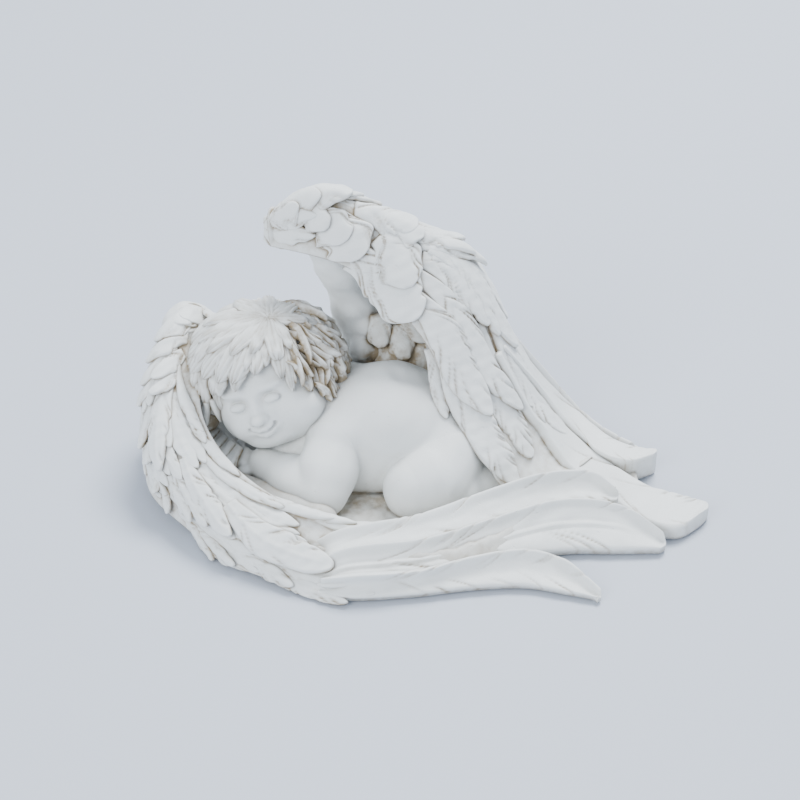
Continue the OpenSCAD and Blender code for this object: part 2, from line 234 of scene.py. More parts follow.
def mesh_of(name, points, quads, grime):
    corners = quads.ravel().astype(np.int32)
    mesh = bpy.data.meshes.new(name)
    mesh.vertices.add(len(points))
    mesh.vertices.foreach_set("co", points.astype(np.float32).ravel())
    mesh.loops.add(len(corners))
    mesh.loops.foreach_set("vertex_index", corners)
    mesh.polygons.add(len(quads))
    mesh.polygons.foreach_set("loop_start", np.arange(0, len(corners), 4, dtype=np.int32))
    mesh.polygons.foreach_set("use_smooth", np.ones(len(quads), bool))
    mesh.update(calc_edges=True)
    mesh.validate()
    layer = mesh.attributes.new("grime", "FLOAT", "POINT")
    layer.data.foreach_set("value", np.clip(grime, 0, 1).astype(np.float32))
    return mesh


def piece(name, forms, material, slot, *nodes):
    """One visible piece made of closed forms, each given as points in mm, quads and grime."""
    points, quads, grime, start = [], [], [], 0
    for form_points, form_quads, form_grime in forms:
        if volume(form_points, form_quads) < 0:
            form_quads = form_quads[:, ::-1]
        points.append(form_points)
        quads.append(form_quads + start)
        grime.append(form_grime)
        start += len(form_points)
    points = (np.concatenate(points) - CENTRE) * MM
    mesh = mesh_of(name, points, np.concatenate(quads), np.concatenate(grime))
    mesh.materials.append(material)
    thing = bpy.data.objects.new(name, mesh)
    bpy.context.scene.collection.objects.link(thing)
    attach(thing, "root")
    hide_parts(*nodes)


# ---- blades: feathers, and locks of hair ----

# Every random draw for blades comes from this, so the order that they are made in matters
carver = np.random.default_rng(11)
draw = carver.uniform


def outline(t, quill, point):
    """Half width of a blade: narrow quill, full vane, and a tip from round (0) to sharp (1)."""
    vane = quill + (1 - quill) * smooth(t / 0.5)
    from_t = 0.62 - 0.4 * point
    x = np.clip((t - from_t) / (1 - from_t), 0, 1)
    return vane * np.maximum((1 - x ** 2) ** (0.5 + 0.45 * point), 0.1)


def barb_cuts(along, across, half, length, number, deepest):
    """Depth of hand-cut barb lines: each starts at an edge and runs inwards and back."""
    depth = np.zeros_like(along)
    for _ in range(number):
        start = draw(0.3, 0.95) * length
        edge = carver.choice([-1, 1])
        reach = draw(0.35, 0.95) * half.max()
        slant = draw(1.2, 2.2)
        wide = draw(0.24, 0.38)
        from_edge = half - edge * across
        off = (along - start + slant * from_edge * (1 + 0.08 * from_edge)) / math.hypot(1, slant)
        fade = smooth((reach - from_edge) / (0.5 * reach)) * (from_edge > -0.3)
        depth = np.maximum(depth, bell(off, wide) * fade * draw(0.5, 1))
    return depth * deepest


def one_sideways(along, across, sideways):
    """How far u and v move for one millimetre sideways."""
    uu, uv, vv = (along ** 2).sum(1), (along * across).sum(1), (across ** 2).sum(1)
    su, sv = (along * sideways).sum(1), (across * sideways).sum(1)
    spread = np.maximum(uu * vv - uv ** 2, 1e-9)
    return (su * vv - sv * uv) / spread, (sv * uu - su * uv) / spread


def worn_edges(tt, ss, length, phase, wobble, nicks):
    """What a blade's half width is multiplied by: a slow waver, and nicks in one edge or the other."""
    share = 1 + wobble * (np.sin(7 * tt + phase[0] + ss) + np.sin(15 * tt + phase[1] - ss))
    for _ in range(nicks):
        spot, edge = draw(0.35, 0.95), carver.choice([-1, 1])
        share -= draw(0.06, 0.16) * smooth(ss * edge) * bell((tt - spot) * length, 0.8)
    return share


def blade(sheet, root, tip, width, thick=1.2, lift=1.2, bow=0.0, quill=0.55, point=0.2,
          camber=0.15, ridge=0.3, cuts=6, fibres=0, cell=0.38, base=0.0, dirt=0.35, rim=0.4,
          wobble=0.05, curl=0.0, nicks=3, sink=2.2, floor=GROUND, tint=0.0):
    """A feather or a lock that hugs a sheet from root to tip, both given as (u, v).

    base is its height over the sheet, sink how deep its root is buried, lift the climb to its tip
    and curl a last rise. Its outline has bow, quill and point. Its relief has camber, a ridge for
    a shaft, barb cuts and fibres. wobble, nicks and rim wear its edges; dirt and tint are grime.
    """
    root, tip = np.array(root, float), np.array(tip, float)
    cell = cell * COARSE
    fine = np.linspace(0, 1, 25)
    path = root + (tip - root) * fine[:, None] + np.outer(np.sin(np.pi * fine), (0, bow))
    length = run_length(sheet.point(path[:, 0], path[:, 1]))
    rows = max(10, int(length / cell * 1.25))
    cols = max(9, int(width / cell)) | 1
    t = 1 - (1 - np.linspace(0, 1, rows)) ** 1.35

    u = root[0] + (tip[0] - root[0]) * t
    v = root[1] + (tip[1] - root[1]) * t + bow * np.sin(np.pi * t)
    along, across = sheet.slopes(u, v)
    normal = sheet.side * unit(np.cross(along, across))
    turn = tip[1] - root[1] + bow * np.pi * np.cos(np.pi * t)
    heading = along * (tip[0] - root[0]) + across * turn[:, None]
    du, dv = one_sideways(along, across, unit(np.cross(normal, heading)))

    tt, ss = np.meshgrid(t, crowded(cols), indexing="ij")
    phase = draw(0, 2 * np.pi, 4)
    worn = worn_edges(tt, ss, length, phase, wobble, nicks)
    half = width / 2 * outline(tt, quill, point) * worn
    y = ss * half
    uu, vv = u[:, None] + du[:, None] * y, v[:, None] + dv[:, None] * y
    seat, up = sheet.point(uu, vv), sheet.normal(uu, vv)

    to_edge = np.minimum(half * (1 - abs(ss)), length * np.minimum(1 - tt, tt))
    roll = round_over(to_edge, rim * thick)
    groove = barb_cuts(tt * length, y, half, length, cuts, 0.6)
    shaft = ridge * bell(y, 0.45) * smooth((1 - tt) / 0.25)
    rough = 0.13 * ripples(seat, 3.2, 3)
    crown = camber * (1 - ss ** 2) * smooth(tt / 0.15) * smooth((1 - tt) / 0.2)
    grime = tint + dirt * (1 - roll) + groove * 1.3 + 0.5 * dirt * smooth((0.35 - tt) / 0.35)
    strands = 0
    if fibres:
        relief = 0.22 * thick
        strands = relief * np.cos(np.pi * fibres * (ss + 0.25 * np.sin(2.5 * tt + phase[2])))
        grime = grime + dirt * 0.5 * smooth(-strands / relief)
    seated = base - sink + lift * tt ** 1.3 + curl * smooth((tt - 0.6) / 0.4)
    top = seated + thick * (0.3 + 0.7 * roll) + (crown + shaft + strands + rough - groove) * roll
    low = seated + thick * (0.3 - 0.3 * roll) + 0.6 * camber * (1 - ss ** 2) * roll
    top_points = seat + up * top[..., None]
    low_points = seat + up * low[..., None]
    keep_above(floor, top_points, low_points)
    return pillow(top_points, low_points, grime, np.full_like(grime, dirt))


def each_own(specs, looks):
    """Gives (root, tip, width) and looks for each item; an item may hold some looks of its own."""
    for root, tip, width, *own in specs:
        yield root, tip, width, {**looks, **(own[0] if own else {})}


def plumes(sheet, feathers, **looks):
    return [blade(sheet, root, tip, width, **style)
            for root, tip, width, style in each_own(feathers, looks)]


def feather_row(sheet, from_u, to_u, low_v, high_v, number, width, uneven=0.012, **looks):
    """A row of like feathers side by side across a sheet, a little uneven."""
    forms = []
    for i in range(number):
        v = low_v + (high_v - low_v) * (i + 0.5 + draw(-0.15, 0.15)) / number
        reach = to_u + draw(-uneven, uneven)
        forms.append(blade(sheet, (from_u, v), (reach, v + draw(-0.02, 0.02)),
                           width * draw(0.9, 1.1), **looks))
    return forms


# ---- sculpted masses: distance fields, meshed where they are zero ----

def f32(numbers):
    return np.asarray(numbers, np.float32)


def ball(p, centre, radius):
    return np.linalg.norm(p - f32(centre), axis=1) - radius


def egg(p, centre, radii, axes=None):
    q = p - f32(centre)
    if axes is not None:
        q = q @ f32(axes).T
    radii = f32(radii)
    near = np.linalg.norm(q / radii, axis=1)
    return near * (near - 1) / np.maximum(np.linalg.norm(q / radii ** 2, axis=1), 1e-6)


def cone(p, a, b, radius_a, radius_b):
    """Round-ended cone from a to b."""
    a, b = f32(a), f32(b)
    t = np.clip((p - a) @ (b - a) / ((b - a) @ (b - a)), 0, 1)
    return np.linalg.norm(p - a - t[:, None] * (b - a), axis=1) - radius_a - (radius_b - radius_a) * t


def join(a, b, soft):
    """Union of two masses with a soft crease."""
    h = np.clip(0.5 + 0.5 * (b - a) / soft, 0, 1)
    return b + (a - b) * h - soft * h * (1 - h)


def carve(a, b, soft):
    """The mass a with b cut out of it, with soft lips."""
    return -join(-a, b, soft)


def chain(p, balls, soft=2.0):
    """A limb: round-ended cones through a list of (centre, radius)."""
    mass = cone(p, balls[0][0], balls[1][0], balls[0][1], balls[1][1])
    for (a, ra), (b, rb) in zip(balls[1:], balls[2:]):
        mass = join(mass, cone(p, a, b, ra, rb), soft)
    return mass


def sculpt(field, low, high, cell):
    """Closed mesh, in quads, of the surface where field(points) is zero inside a box."""
    # Whole blocks of cells are tried first, and only cells within reach of the surface one by one
    block, reach, at_once = 4, 7, 200000
    cell = cell * COARSE
    low, high = np.array(low, np.float32), np.array(high, np.float32)
    blocks = np.ceil((high - low) / (block * cell)).astype(int) + 1
    nodes = np.stack(np.meshgrid(*(np.arange(n) for n in blocks), indexing="ij"), -1)
    rough = field((low + nodes.reshape(-1, 3) * (block * cell)).astype(np.float32)).reshape(blocks)
    value = rough.repeat(block, 0).repeat(block, 1).repeat(block, 2).astype(np.float32)
    near = np.argwhere(abs(value) < reach * cell)
    parts = np.array_split(near, max(1, len(near) // at_once))
    value[tuple(near.T)] = np.concatenate([field((low + part * cell).astype(np.float32))
                                           for part in parts])
    for axis in range(3):
        edge = np.moveaxis(value, axis, 0)
        edge[0] = np.maximum(edge[0], 0.1)
        edge[-1] = np.maximum(edge[-1], 0.1)
    return surface_net(value, low, cell)


def surface_net(value, low, cell):
    """One point in each cell that the surface crosses, and one quad round each crossed edge."""
    inside = value < 0
    corners = [(i, j, k) for i in (0, 1) for j in (0, 1) for k in (0, 1)]
    shape = np.array(value.shape) - 1

    def shifted(grid, at):
        return grid[at[0]:at[0] + shape[0], at[1]:at[1] + shape[1], at[2]:at[2] + shape[2]]

    filled = sum(shifted(inside, at).astype(np.int8) for at in corners)
    mixed = (filled > 0) & (filled < 8)
    number = np.full(mixed.shape, -1, np.int64)
    cells = np.argwhere(mixed)
    number[tuple(cells.T)] = np.arange(len(cells))
    total = np.zeros((len(cells), 3))
    count = np.zeros(len(cells))
    for a in corners:
        for axis in range(3):
            if a[axis]:
                continue
            b = list(a)
            b[axis] = 1
            fa = value[tuple((cells + a).T)]
            fb = value[tuple((cells + b).T)]
            crossed = (fa < 0) != (fb < 0)
            share = np.where(crossed, fa / np.where(crossed, fa - fb, 1), 0)
            spot = np.array(a) + share[:, None] * (np.array(b) - a)
            total += spot * crossed[:, None]
            count += crossed
    points = low + (cells + total / count[:, None]) * cell
    quads = []
    for axis in range(3):
        one, two = (axis + 1) % 3, (axis + 2) % 3
        ahead = [slice(1, -1)] * 3
        ahead[axis] = slice(0, -1)
        beyond = list(ahead)
        beyond[axis] = slice(1, None)
        here, there = inside[tuple(ahead)], inside[tuple(beyond)]
        at = np.argwhere(here != there)
        start = at + np.array([0 if i == axis else 1 for i in range(3)])
        leaving = here[tuple(at.T)]
        around = []
        for da, db in ((0, 0), (1, 0), (1, 1), (0, 1)):
            spot = start.copy()
            spot[:, one] -= da
            spot[:, two] -= db
            around.append(number[tuple(spot.T)])
        quad = np.stack(around, 1)
        quad[~leaving] = quad[~leaving][:, ::-1]
        quads.append(quad)
    return points, np.concatenate(quads)


def carved_form(field, low, high, cell, grime=0.0):
    """A sculpted mass as a form, with grime as one number or as a function of the points."""
    points, quads = sculpt(field, low, high, cell)
    shade = grime(points) if callable(grime) else np.full(len(points), grime)
    return points, quads, shade


# ---- the cherub's body ----

def trunk(p):
    back = chain(p, [((-32, 19, 22), 9), ((-22, 16.5, 17), 13), ((-9, 15, 19), 15),
                     ((-1.5, 14, 17.2), 14)], 6)
    # The shoulders and the chest
    back = join(back, cone(p, (-22, 15, 17), (-21, 9, 19), 12, 8.5), 4)
    back = join(back, cone(p, (-22, 18, 17), (-20, 27, 17), 12, 9), 4)
    back = join(back, cone(p, (-30, 12, 12), (-44, 13, 10), 9, 6), 3)
    rump = join(cone(p, (1, 13, 16.5), (5.5, 9, 14), 12, 10),
                cone(p, (1, 16, 16.5), (4, 20, 15), 12, 10.4), 2.5)
    back = join(back, rump, 5)
    # The far flank, and the belly on the nest
    back = join(back, cone(p, (-20, 23, 15), (-5, 22, 15.5), 12.5, 12.2), 6)
    back = join(back, cone(p, (-18, 9, 10), (-2, 8, 10), 10, 9), 4)
    # A shallow fold in the small of the back
    return carve(back, cone(p, (-4, 13, 38), (9, 18, 35), 3.6, 3.8), 3)


def hand(p, palm, knuckles, tips, radius):
    """A small fist: a padded palm and four short fingers."""
    mass = egg(p, palm, (4.6, 4.2, 3.2))
    for knuckle, tip in zip(knuckles, tips):
        middle = (np.add(knuckle, tip) / 2 + (0, 0, 0.5)).tolist()
        finger = chain(p, [(knuckle, radius), (middle, radius * 0.98), (tip, radius * 0.85)], 0.6)
        mass = join(mass, finger, 0.5)
    return mass


def left_arm(p):
    upper = chain(p, [((-24, 5, 18), 8), ((-26, -2, 13.5), 7.4), ((-27, -6.5, 10), 6.6)], 4)
    lower = chain(p, [((-27.5, -6.5, 9.5), 6.5), ((-35, -1, 9.6), 6.3), ((-43.5, 6, 10.2), 5)], 4)
    arm = join(upper, lower, 0.9)
    fist = hand(p, (-48.5, 9, 10),
                [(-49.5, 5.8 + 2.2 * i, 11) for i in range(4)],
                [(-54.4, 7.4 + 2.3 * i, 9) for i in range(4)], 1.5)
    thumb = chain(p, [((-46, 5, 10), 1.9), ((-49.2, 3.4, 9.6), 1.6), ((-52, 4.6, 8.6), 1.2)], 0.8)
    return join(join(arm, fist, 0.7), thumb, 0.5)


def right_arm(p):
    upper = chain(p, [((-22, 28, 19), 8), ((-28, 34, 12), 7), ((-34, 35, 9), 6.2)], 4)
    lower = chain(p, [((-34, 35, 9), 6.2), ((-42, 28, 8.5), 5.4), ((-47, 20, 8), 4.2)], 4)
    fist = hand(p, (-48, 17.5, 8),
                [(-46.5 + 1.8 * i - 3, 16.6, 8.8) for i in range(4)],
                [(-51.4 + 1.8 * i, 12.6, 7) for i in range(4)], 1.35)
    return join(join(upper, lower, 0.9), fist, 0.8)


def foot_form(p, ankle, ball_of_foot, toes, spread):
    mass = chain(p, [(ankle, 4.4), (ball_of_foot, 3.7)], 3)
    for i in range(5):
        root = np.add(toes, np.multiply(spread, i))
        size = 1.75 - 0.18 * i
        tip = root + np.array([3.0 - 0.45 * i, 0.2, -0.5])
        mass = join(mass, cone(p, root, tip, size, size * 0.85), 0.5)
    return mass


def left_leg(p):
    thigh = chain(p, [((6.2, 4.2, 12.8), 10), ((3, -1, 11), 9.7), ((-2.5, -3.5, 9.5), 8.4)], 4)
    shin = chain(p, [((-2.5, -4, 7.5), 7.6), ((8, -2, 7), 6.3), ((17, 2.5, 6.8), 4.9)], 4)
    sole = foot_form(p, (17, 2.5, 6.8), (23, 4.5, 6.6), (23, 1.9, 6.6), (-0.1, 1.55, 0.15))
    return join(join(thigh, shin, 0.8), sole, 2)


def right_leg(p):
    thigh = chain(p, [((7, 24, 15), 11.5), ((3, 30, 13), 10.5), ((-3, 32, 10.5), 8.6)], 4)
    shin = chain(p, [((-3, 31, 8), 6.8), ((8, 29, 7), 6), ((17, 24, 6.8), 4.9)], 4)
    sole = foot_form(p, (17, 24, 6.8), (24, 21, 6.6), (24, 18.2, 6.6), (0.1, 1.5, 0.1))
    return join(join(thigh, shin, 0.8), sole, 2)


LIMBS = {"torso": trunk, "left_arm": left_arm, "right_arm": right_arm, "left_leg": left_leg,
         "right_leg": right_leg}
BODY_BOXES = {
    "torso": ((-44, -8, 2), (24, 38, 38)),
    "left_arm": ((-58, -16, 2), (-14, 19, 28)),
    "right_arm": ((-58, 10, 2), (-12, 43, 30)),
    "left_leg": ((-13, -15, 2), (31, 18, 30)),
    "right_leg": ((-14, 8, 2), (32, 42, 30)),
}


def flesh(p, own):
    """The whole body joined softly, kept only where the limb called own is the nearest."""
    mass = {name: shape(p) for name, shape in LIMBS.items()}
    x, z = p[:, 0], p[:, 2]
    whole = join(mass["torso"], mass["left_leg"], 1.1 + 6 * smooth((x + 1) / 10))
    whole = join(whole, mass["right_leg"], 1.1 + 6 * smooth((x + 1) / 10))
    whole = join(whole, mass["left_arm"], 0.6 + 3.5 * smooth((z - 18) / 8))
    whole = join(whole, mass["right_arm"], 0.6 + 3.5 * smooth((z - 18) / 8))
    whole = whole + 0.07 * ripples(p, 6, 41)
    others = np.minimum.reduce([mass[name] for name in LIMBS if name != own])
    if own == "torso":
        # The torso runs on a little under each limb, so that no seam opens
        whole, others = whole + 0.05, others + 1.6
    return np.maximum(np.maximum(whole, mass[own] - others), ROOTED - z)


def body_piece(own, skin):
    low, high = BODY_BOXES[own]
    forms = [carved_form(lambda p: flesh(p, own), low, high, 0.42, low_body_browning)]
    piece("cherub_" + own, forms, skin, "resin_skin", own)


def low_body_browning(p):
    """Browner towards the bottom, where the body meets the nest."""
    return 0.4 * smooth((7 - p[:, 2]) / 4)


# ---- the head ----

SKULL = (-41, 22, 32)
FACE_MIDDLE = np.array([-44.5, 5.0, 29.0])
# Rows: to the viewer's right, up the face, and out of the face
FACE_AXES = unit(np.array([(0.90, -0.14, 0.41), (-0.40, 0.07, 0.91), (-0.16, -0.985, 0.0)]))


def head_mass(p):
    head = egg(p, SKULL, (16.5, 16.6, 16.4))
    head = join(head, egg(p, (-42, 16.5, 27.5), (13.4, 12.2, 12)), 4)
    head = join(head, egg(p, (-42.8, 13, 23.6), (11.6, 9.4, 9.5)), 4)
    head = join(head, egg(p, (-34.2, 12.6, 26), (9.2, 8.6, 8.8)), 3.5)
    return join(head, egg(p, (-49, 13.6, 22.6), (5.2, 6.4, 6.6)), 3.5)


def on_face(right, up, out=0.0):
    """The point of the plain head at a place given in the face's own millimetres."""
    r, u, f = FACE_AXES
    start = FACE_MIDDLE + right * r + up * u
    # Walks in from outside until it is in the head
    steps = np.linspace(14, -12, 521)
    line = (start + steps[:, None] * f).astype(np.float32)
    first = np.argmax(head_mass(line) < 0)
    return start + (steps[first] + out) * f


def face_chain(p, spots, radius, soft):
    """A soft line through spots given as (right, up, out) on the face."""
    return chain(p, [(on_face(*spot), radius) for spot in spots], soft)


def face_egg(p, spot, radii):
    return egg(p, on_face(*spot), radii, FACE_AXES)


def head_field(p):
    head = head_mass(p)
    # Full cheeks, the right one turned to the viewer, and the chin
    head = join(head, face_egg(p, (10.0, -4.0, -2.9), (6.0, 5.4, 5.0)), 2.0)
    head = join(head, face_egg(p, (-6.2, -4.0, -2.5), (3.8, 4.2, 3.9)), 1.6)
    head = join(head, face_egg(p, (-1.6, -9.6, -3.2), (6.2, 3.0, 4.2)), 2.5)
    # The muzzle, which carries the lips
    head = join(head, face_egg(p, (0, -4.4, -1.2), (4.4, 2.9, 2.6)), 1.8)
    for side in (-1, 1):
        # Eye socket, brow, closed lid and lash line
        head = carve(head, face_egg(p, (side * 5.1, 3.2, 1.3), (3.8, 2.4, 2.7)), 1.4)
        head = join(head, face_egg(p, (side * 5.4, 5.9, -1.3), (3.8, 1.1, 1.9)), 1.6)
        head = join(head, face_egg(p, (side * 5.2, 2.3, -0.6), (2.5, 1.3, 1.4)), 0.5)
        lashes = [(side * 5.2 + across, up, out) for across, up, out in
                  ((-2.7, 2.2, 0.1), (-1.2, 1.3, 0.3), (1.2, 1.3, 0.3), (2.7, 2.2, 0.1))]
        head = carve(head, face_chain(p, lashes, 0.42, 0.2), 0.2)
        # Wing of the nose, and the corner of the smile
        head = join(head, ball(p, on_face(side * 1.75, -1.9, 0.4), 1.15), 0.4)
        head = carve(head, ball(p, on_face(side * 3.6, -4.1, 0.6), 0.75), 0.5)
    # The ear that shows, then the bridge, tip and nostrils of the nose
    head = join(head, egg(p, (-25.4, 18.5, 30), (1.9, 3.0, 4.2)), 1)
    head = join(head, cone(p, on_face(0, 2.6, -1.1), on_face(0, -1.0, 0.2), 0.8, 1.7), 1.6)
    head = join(head, face_egg(p, (0, -1.3, 1.4), (2.0, 1.6, 1.8)), 0.5)
    for side in (-1, 1):
        head = carve(head, ball(p, on_face(side * 0.85, -2.8, 1.9), 0.55), 0.25)
    # Lips, then the line of the smile between them
    upper = [(-2.6, -4.0, 0.6), (-1.0, -4.2, 1.2), (1.0, -4.2, 1.2), (2.6, -4.0, 0.6)]
    lower = [(-1.4, -6.1, 0.4), (0, -6.4, 0.6), (1.4, -6.1, 0.4)]
    head = join(join(head, face_chain(p, upper, 0.85, 0.5), 0.4), face_chain(p, lower, 1.0, 0.5), 0.5)
    smile = [(-3.5, -4.2, 0.6), (-2.0, -5.1, 1.3), (0, -5.4, 1.7), (2.0, -5.1, 1.3), (3.5, -4.2, 0.6)]
    return carve(head, face_chain(p, smile, 0.5, 0.3), 0.25)


def jaw_browning(p):
    """Browner under the jaw, towards the ear that shows."""
    return 0.35 * smooth((p[:, 0] + 33) / 6) * smooth((22 - p[:, 2]) / 6)


def head_piece(skin):
    forms = [carved_form(head_field, (-62, -2, 8), (-20, 42, 51), 0.32, jaw_browning)]
    piece("cherub_head", forms, skin, "resin_skin", "head")


# ---- the hair ----

DOME = Dome()

# Where the locks of the crown meet, in millimetres right and forward of the dome's top
WHORL = (1.4, 3.5)

# Locks as (root, tip, width): millimetres on the dome, right and forward of its top
TEMPLE_LOCKS = [
    ((-22, 9), (-36, 19), 5.5), ((-22, 14), (-36, 25), 5), ((-18, 17), (-29, 31), 4.5, dict(base=-4)),
    ((-16, 19), (-25, 34), 3.6, dict(base=-5)), ((-23, 3), (-38, 10), 6), ((-23, -4), (-38, -2), 6),
    ((-14, 14), (-20, 24), 4.4), ((-12, 16), (-17.5, 25.5), 4), ((-5, 13), (-9.8, 26), 5),
]
SWEPT_LOCKS = [
    ((-3, 6), (-27, 10.5), 6.5), ((-3, 4), (-27, 3), 6), ((-2, 6), (-21, 17), 7),
    ((0, 8), (-1.6, 21.6), 5.4), ((2, 8), (1.5, 19), 4.2), ((4, 9), (7, 22), 4.4),
    ((6, 10), (11.5, 25), 3.6), ((-1, 6), (-15, 21.2), 7.2), ((0.5, 6), (-9.6, 23), 7.4),
    ((-3, 2), (-25, -4), 6), ((1, 5), (-5, 20.5), 4.8),
]
CROWN_LOCKS = [
    ((0.5, 3.5), (-19, 5), 5), ((0.5, 3.5), (-17.5, -2), 5), ((1, 4), (-16, 11), 5.4),
    ((1.2, 4.2), (-8.5, 15), 5.6), ((2, 4.2), (5, 17), 5.2, dict(point=0.0)), ((2.4, 3.2), (12.5, 0.8), 4.6),
    ((1.4, 4.4), (-2.5, 15.5), 4.6), ((1.6, 2.8), (-8, -9), 6.4), ((2, 2.8), (1, -11), 6.4),
    ((2.4, 2.8), (9, -8), 6), ((3, 4), (9, 13), 4),
]


def lock(root, tip, width, **looks):
    root, tip = np.array(root, float), np.array(tip, float)
    if np.hypot(*(root - WHORL)) < 2:
        root = root - 1.6 * unit(tip - root)
    style = dict(thick=1.3, lift=0.9, quill=0.6, point=0.5, camber=0.7, ridge=0, cuts=0, fibres=4,
                 cell=0.36, dirt=0.5, wobble=0.07, rim=0.5, nicks=0, sink=0, floor=12)
    return blade(DOME, root, tip, width, **{**style, **looks})


def locks(specs, **looks):
    return [lock(root, tip, width, **style) for root, tip, width, style in each_own(specs, looks)]


# Each ring of locks: how far its tips and its roots are from the top, how many, and how high they lie
RINGS = [(48, 36, 16, -2.8), (39, 26, 15, -2.2), (31, 18, 13, -1.5), (23, 6, 12, -0.8)]


def back_locks():
    """Rings of locks round the sides and the back, the lowest ring first."""
    forms = []
    for reach, start, number, base in RINGS:
        for i in range(number):
            aim = math.radians(-196 + 212 * (i + draw(-0.2, 0.2)) / (number - 1))
            tip = compass(aim + draw(-0.22, 0.22)) * (reach + draw(-2.5, 2.5))
            forms.append(lock(compass(aim) * start, tip, draw(5, 6.8), base=base,
                              bow=draw(-1.5, 1.5), dirt=0.45))
    return forms


def tangle():
    """Short tumbled strands over the side of the head that faces the feather tips."""
    forms = []
    for layer, base, left_out in ((0, -1.6, 0.1), (1, -0.5, 0.2), (2, 0.5, 0.4)):
        for u in np.arange(9 + 1.5 * layer, 40, 5):
            for v in np.arange(-11 + 1.2 * layer, 20, 4.6):
                if math.hypot(u, v) > 42 or v > 26 - 0.35 * u + layer or draw() < left_out:
                    continue
                aim = math.atan2(v + 6, u + 4) + draw(-0.75, 0.75)
                middle = np.array([u, v]) + draw(-1.2, 1.2, 2)
                half = compass(aim) * draw(4.2, 7)
                forms.append(lock(middle - half, middle + half, draw(1.7, 2.8), base=base,
                                  thick=1.5, tint=0.35, bow=draw(-2.2, 2.2), camber=0.9,
                                  fibres=2, dirt=1.0, wobble=0.12, curl=draw(0, 1.2),
                                  lift=0.8, point=0.3, quill=0.35))
    return forms


def curl_knot(spot, lean, size):
    """A short curl that stands off the head: a strand wound one and a quarter times."""
    u, v = (np.array([part]) for part in spot)
    foot, up = DOME.point(u, v)[0], DOME.normal(u, v)[0]
    side = unit(np.cross(up, np.array(lean, float)))
    ahead = np.cross(side, up)
    balls = []
    for t in np.linspace(0, 1, 14):
        angle = 2 * np.pi * 1.25 * t
        across = size * (1 - 0.55 * t)
        place = foot + side * across * math.cos(angle) + ahead * across * math.sin(angle)
        balls.append((place + up * (size * 1.1 * t - 0.8), size * (0.52 - 0.2 * t)))
    low = np.min([c for c, _ in balls], 0) - size
    high = np.max([c for c, _ in balls], 0) + size
    return carved_form(lambda p: chain(p, balls, 0.3), low, high, 0.3, 0.35)


def hair_cap(p):
    """The scalp under the locks, which ends at the hairline."""
    cap = egg(p, DOME.centre, DOME.radii - 1.1)
    up, out = ((p - FACE_MIDDLE.astype(np.float32)) @ axis for axis in FACE_AXES[1:])
    hairline = np.minimum(12 - up, out + 12)
    cap = cap + 0.5 * ripples(p, 3.2, 5)
    cap = np.maximum(np.maximum(cap, hairline), 15 - p[:, 2])
    # The shaded hair behind the left cheek
    return np.minimum(cap, egg(p, (-59.5, 17, 21.5), (3.8, 4.5, 7.5)))


def cheek_strands():
    """Two strands that hang beside the left cheek."""
    forms = []
    for middle in ([(-59.0, 11, 28), (-59.3, 10.6, 24), (-59.5, 11, 20)],
                   [(-57.4, 11, 29), (-56.5, 10.4, 25.5), (-55.4, 11, 21.6)]):
        rails = [[np.add(place, (k * half, 0, 0)) for place, half in zip(middle, (1.2, 1.2, 0.6))]
                 for k in (-1, 0, 1)]
        forms.append(tongue(rails, 1, thick=1.8, drop=0.3, lip=0, hollow=-0.6, cuts=0, cell=0.35,
                            dirt=1.0))
    return forms


def hair_piece(hair):
    forms = [carved_form(hair_cap, (-68, -2, 13), (-20, 43, 54), 0.5, 0.95)]
    forms += back_locks()
    forms += locks(TEMPLE_LOCKS, base=-2.0, dirt=0.45)
    forms += locks(SWEPT_LOCKS, base=-1.1, bow=0.8)
    forms += locks(CROWN_LOCKS, base=-0.3, bow=0.5)
    forms += tangle()
    forms += cheek_strands()
    for spot, lean, size in (((11, -9), (1, 0, 0), 2.6), ((17, -9), (0, 1, 0), 2.2),
                             ((22, 7), (1, 0, 0), 2.0)):
        forms.append(curl_knot(spot, lean, size))
    piece("cherub_hair", forms, hair, "resin_hair", "hair")


# ---- the wings ----

WEB_DEPTH = 3.4


def plumage(name, forms, feather, node):
    piece(name, forms, feather, "resin_feather", node)


def web_form(sheet, u_cells, v_cells, slats, end=1.0):
    """The solid sheet under the feathers up to u = end, with long slats carved along its lining."""
    rows, cols = int(u_cells / COARSE), int(v_cells / COARSE)
    u, v = np.meshgrid(np.linspace(0, end, rows), np.linspace(0, 1, cols), indexing="ij")
    top, up = sheet.point(u, v), sheet.normal(u, v)
    depth = WEB_DEPTH * (0.35 + 0.65 * np.sin(np.pi * v)) * (1 - 0.6 * u ** 4)
    lane = v * slats + 0.35 * np.sin(7 * u) + 0.6 * u
    groove = bell(lane - np.round(lane), 0.09) * smooth(np.sin(np.pi * v) / 0.35)
    barbs = 0.5 + 0.5 * np.sin(2 * np.pi * (u * 60 + 2.2 * abs(lane - np.floor(lane) - 0.5)))
    edge = smooth(np.minimum(np.minimum(v, 1 - v) * 12, np.minimum(u, end - u) * 40))
    low = top - up * ((depth + 1 - 0.75 * groove - 0.12 * barbs * edge) * (0.25 + 0.75 * edge))[..., None]
    top = top - up * (np.minimum(1.8, 0.6 * depth) * edge)[..., None]
    keep_above(GROUND, top, low)
    return pillow(top, low, np.full(u.shape, 0.5), 0.25 + 0.7 * groove)


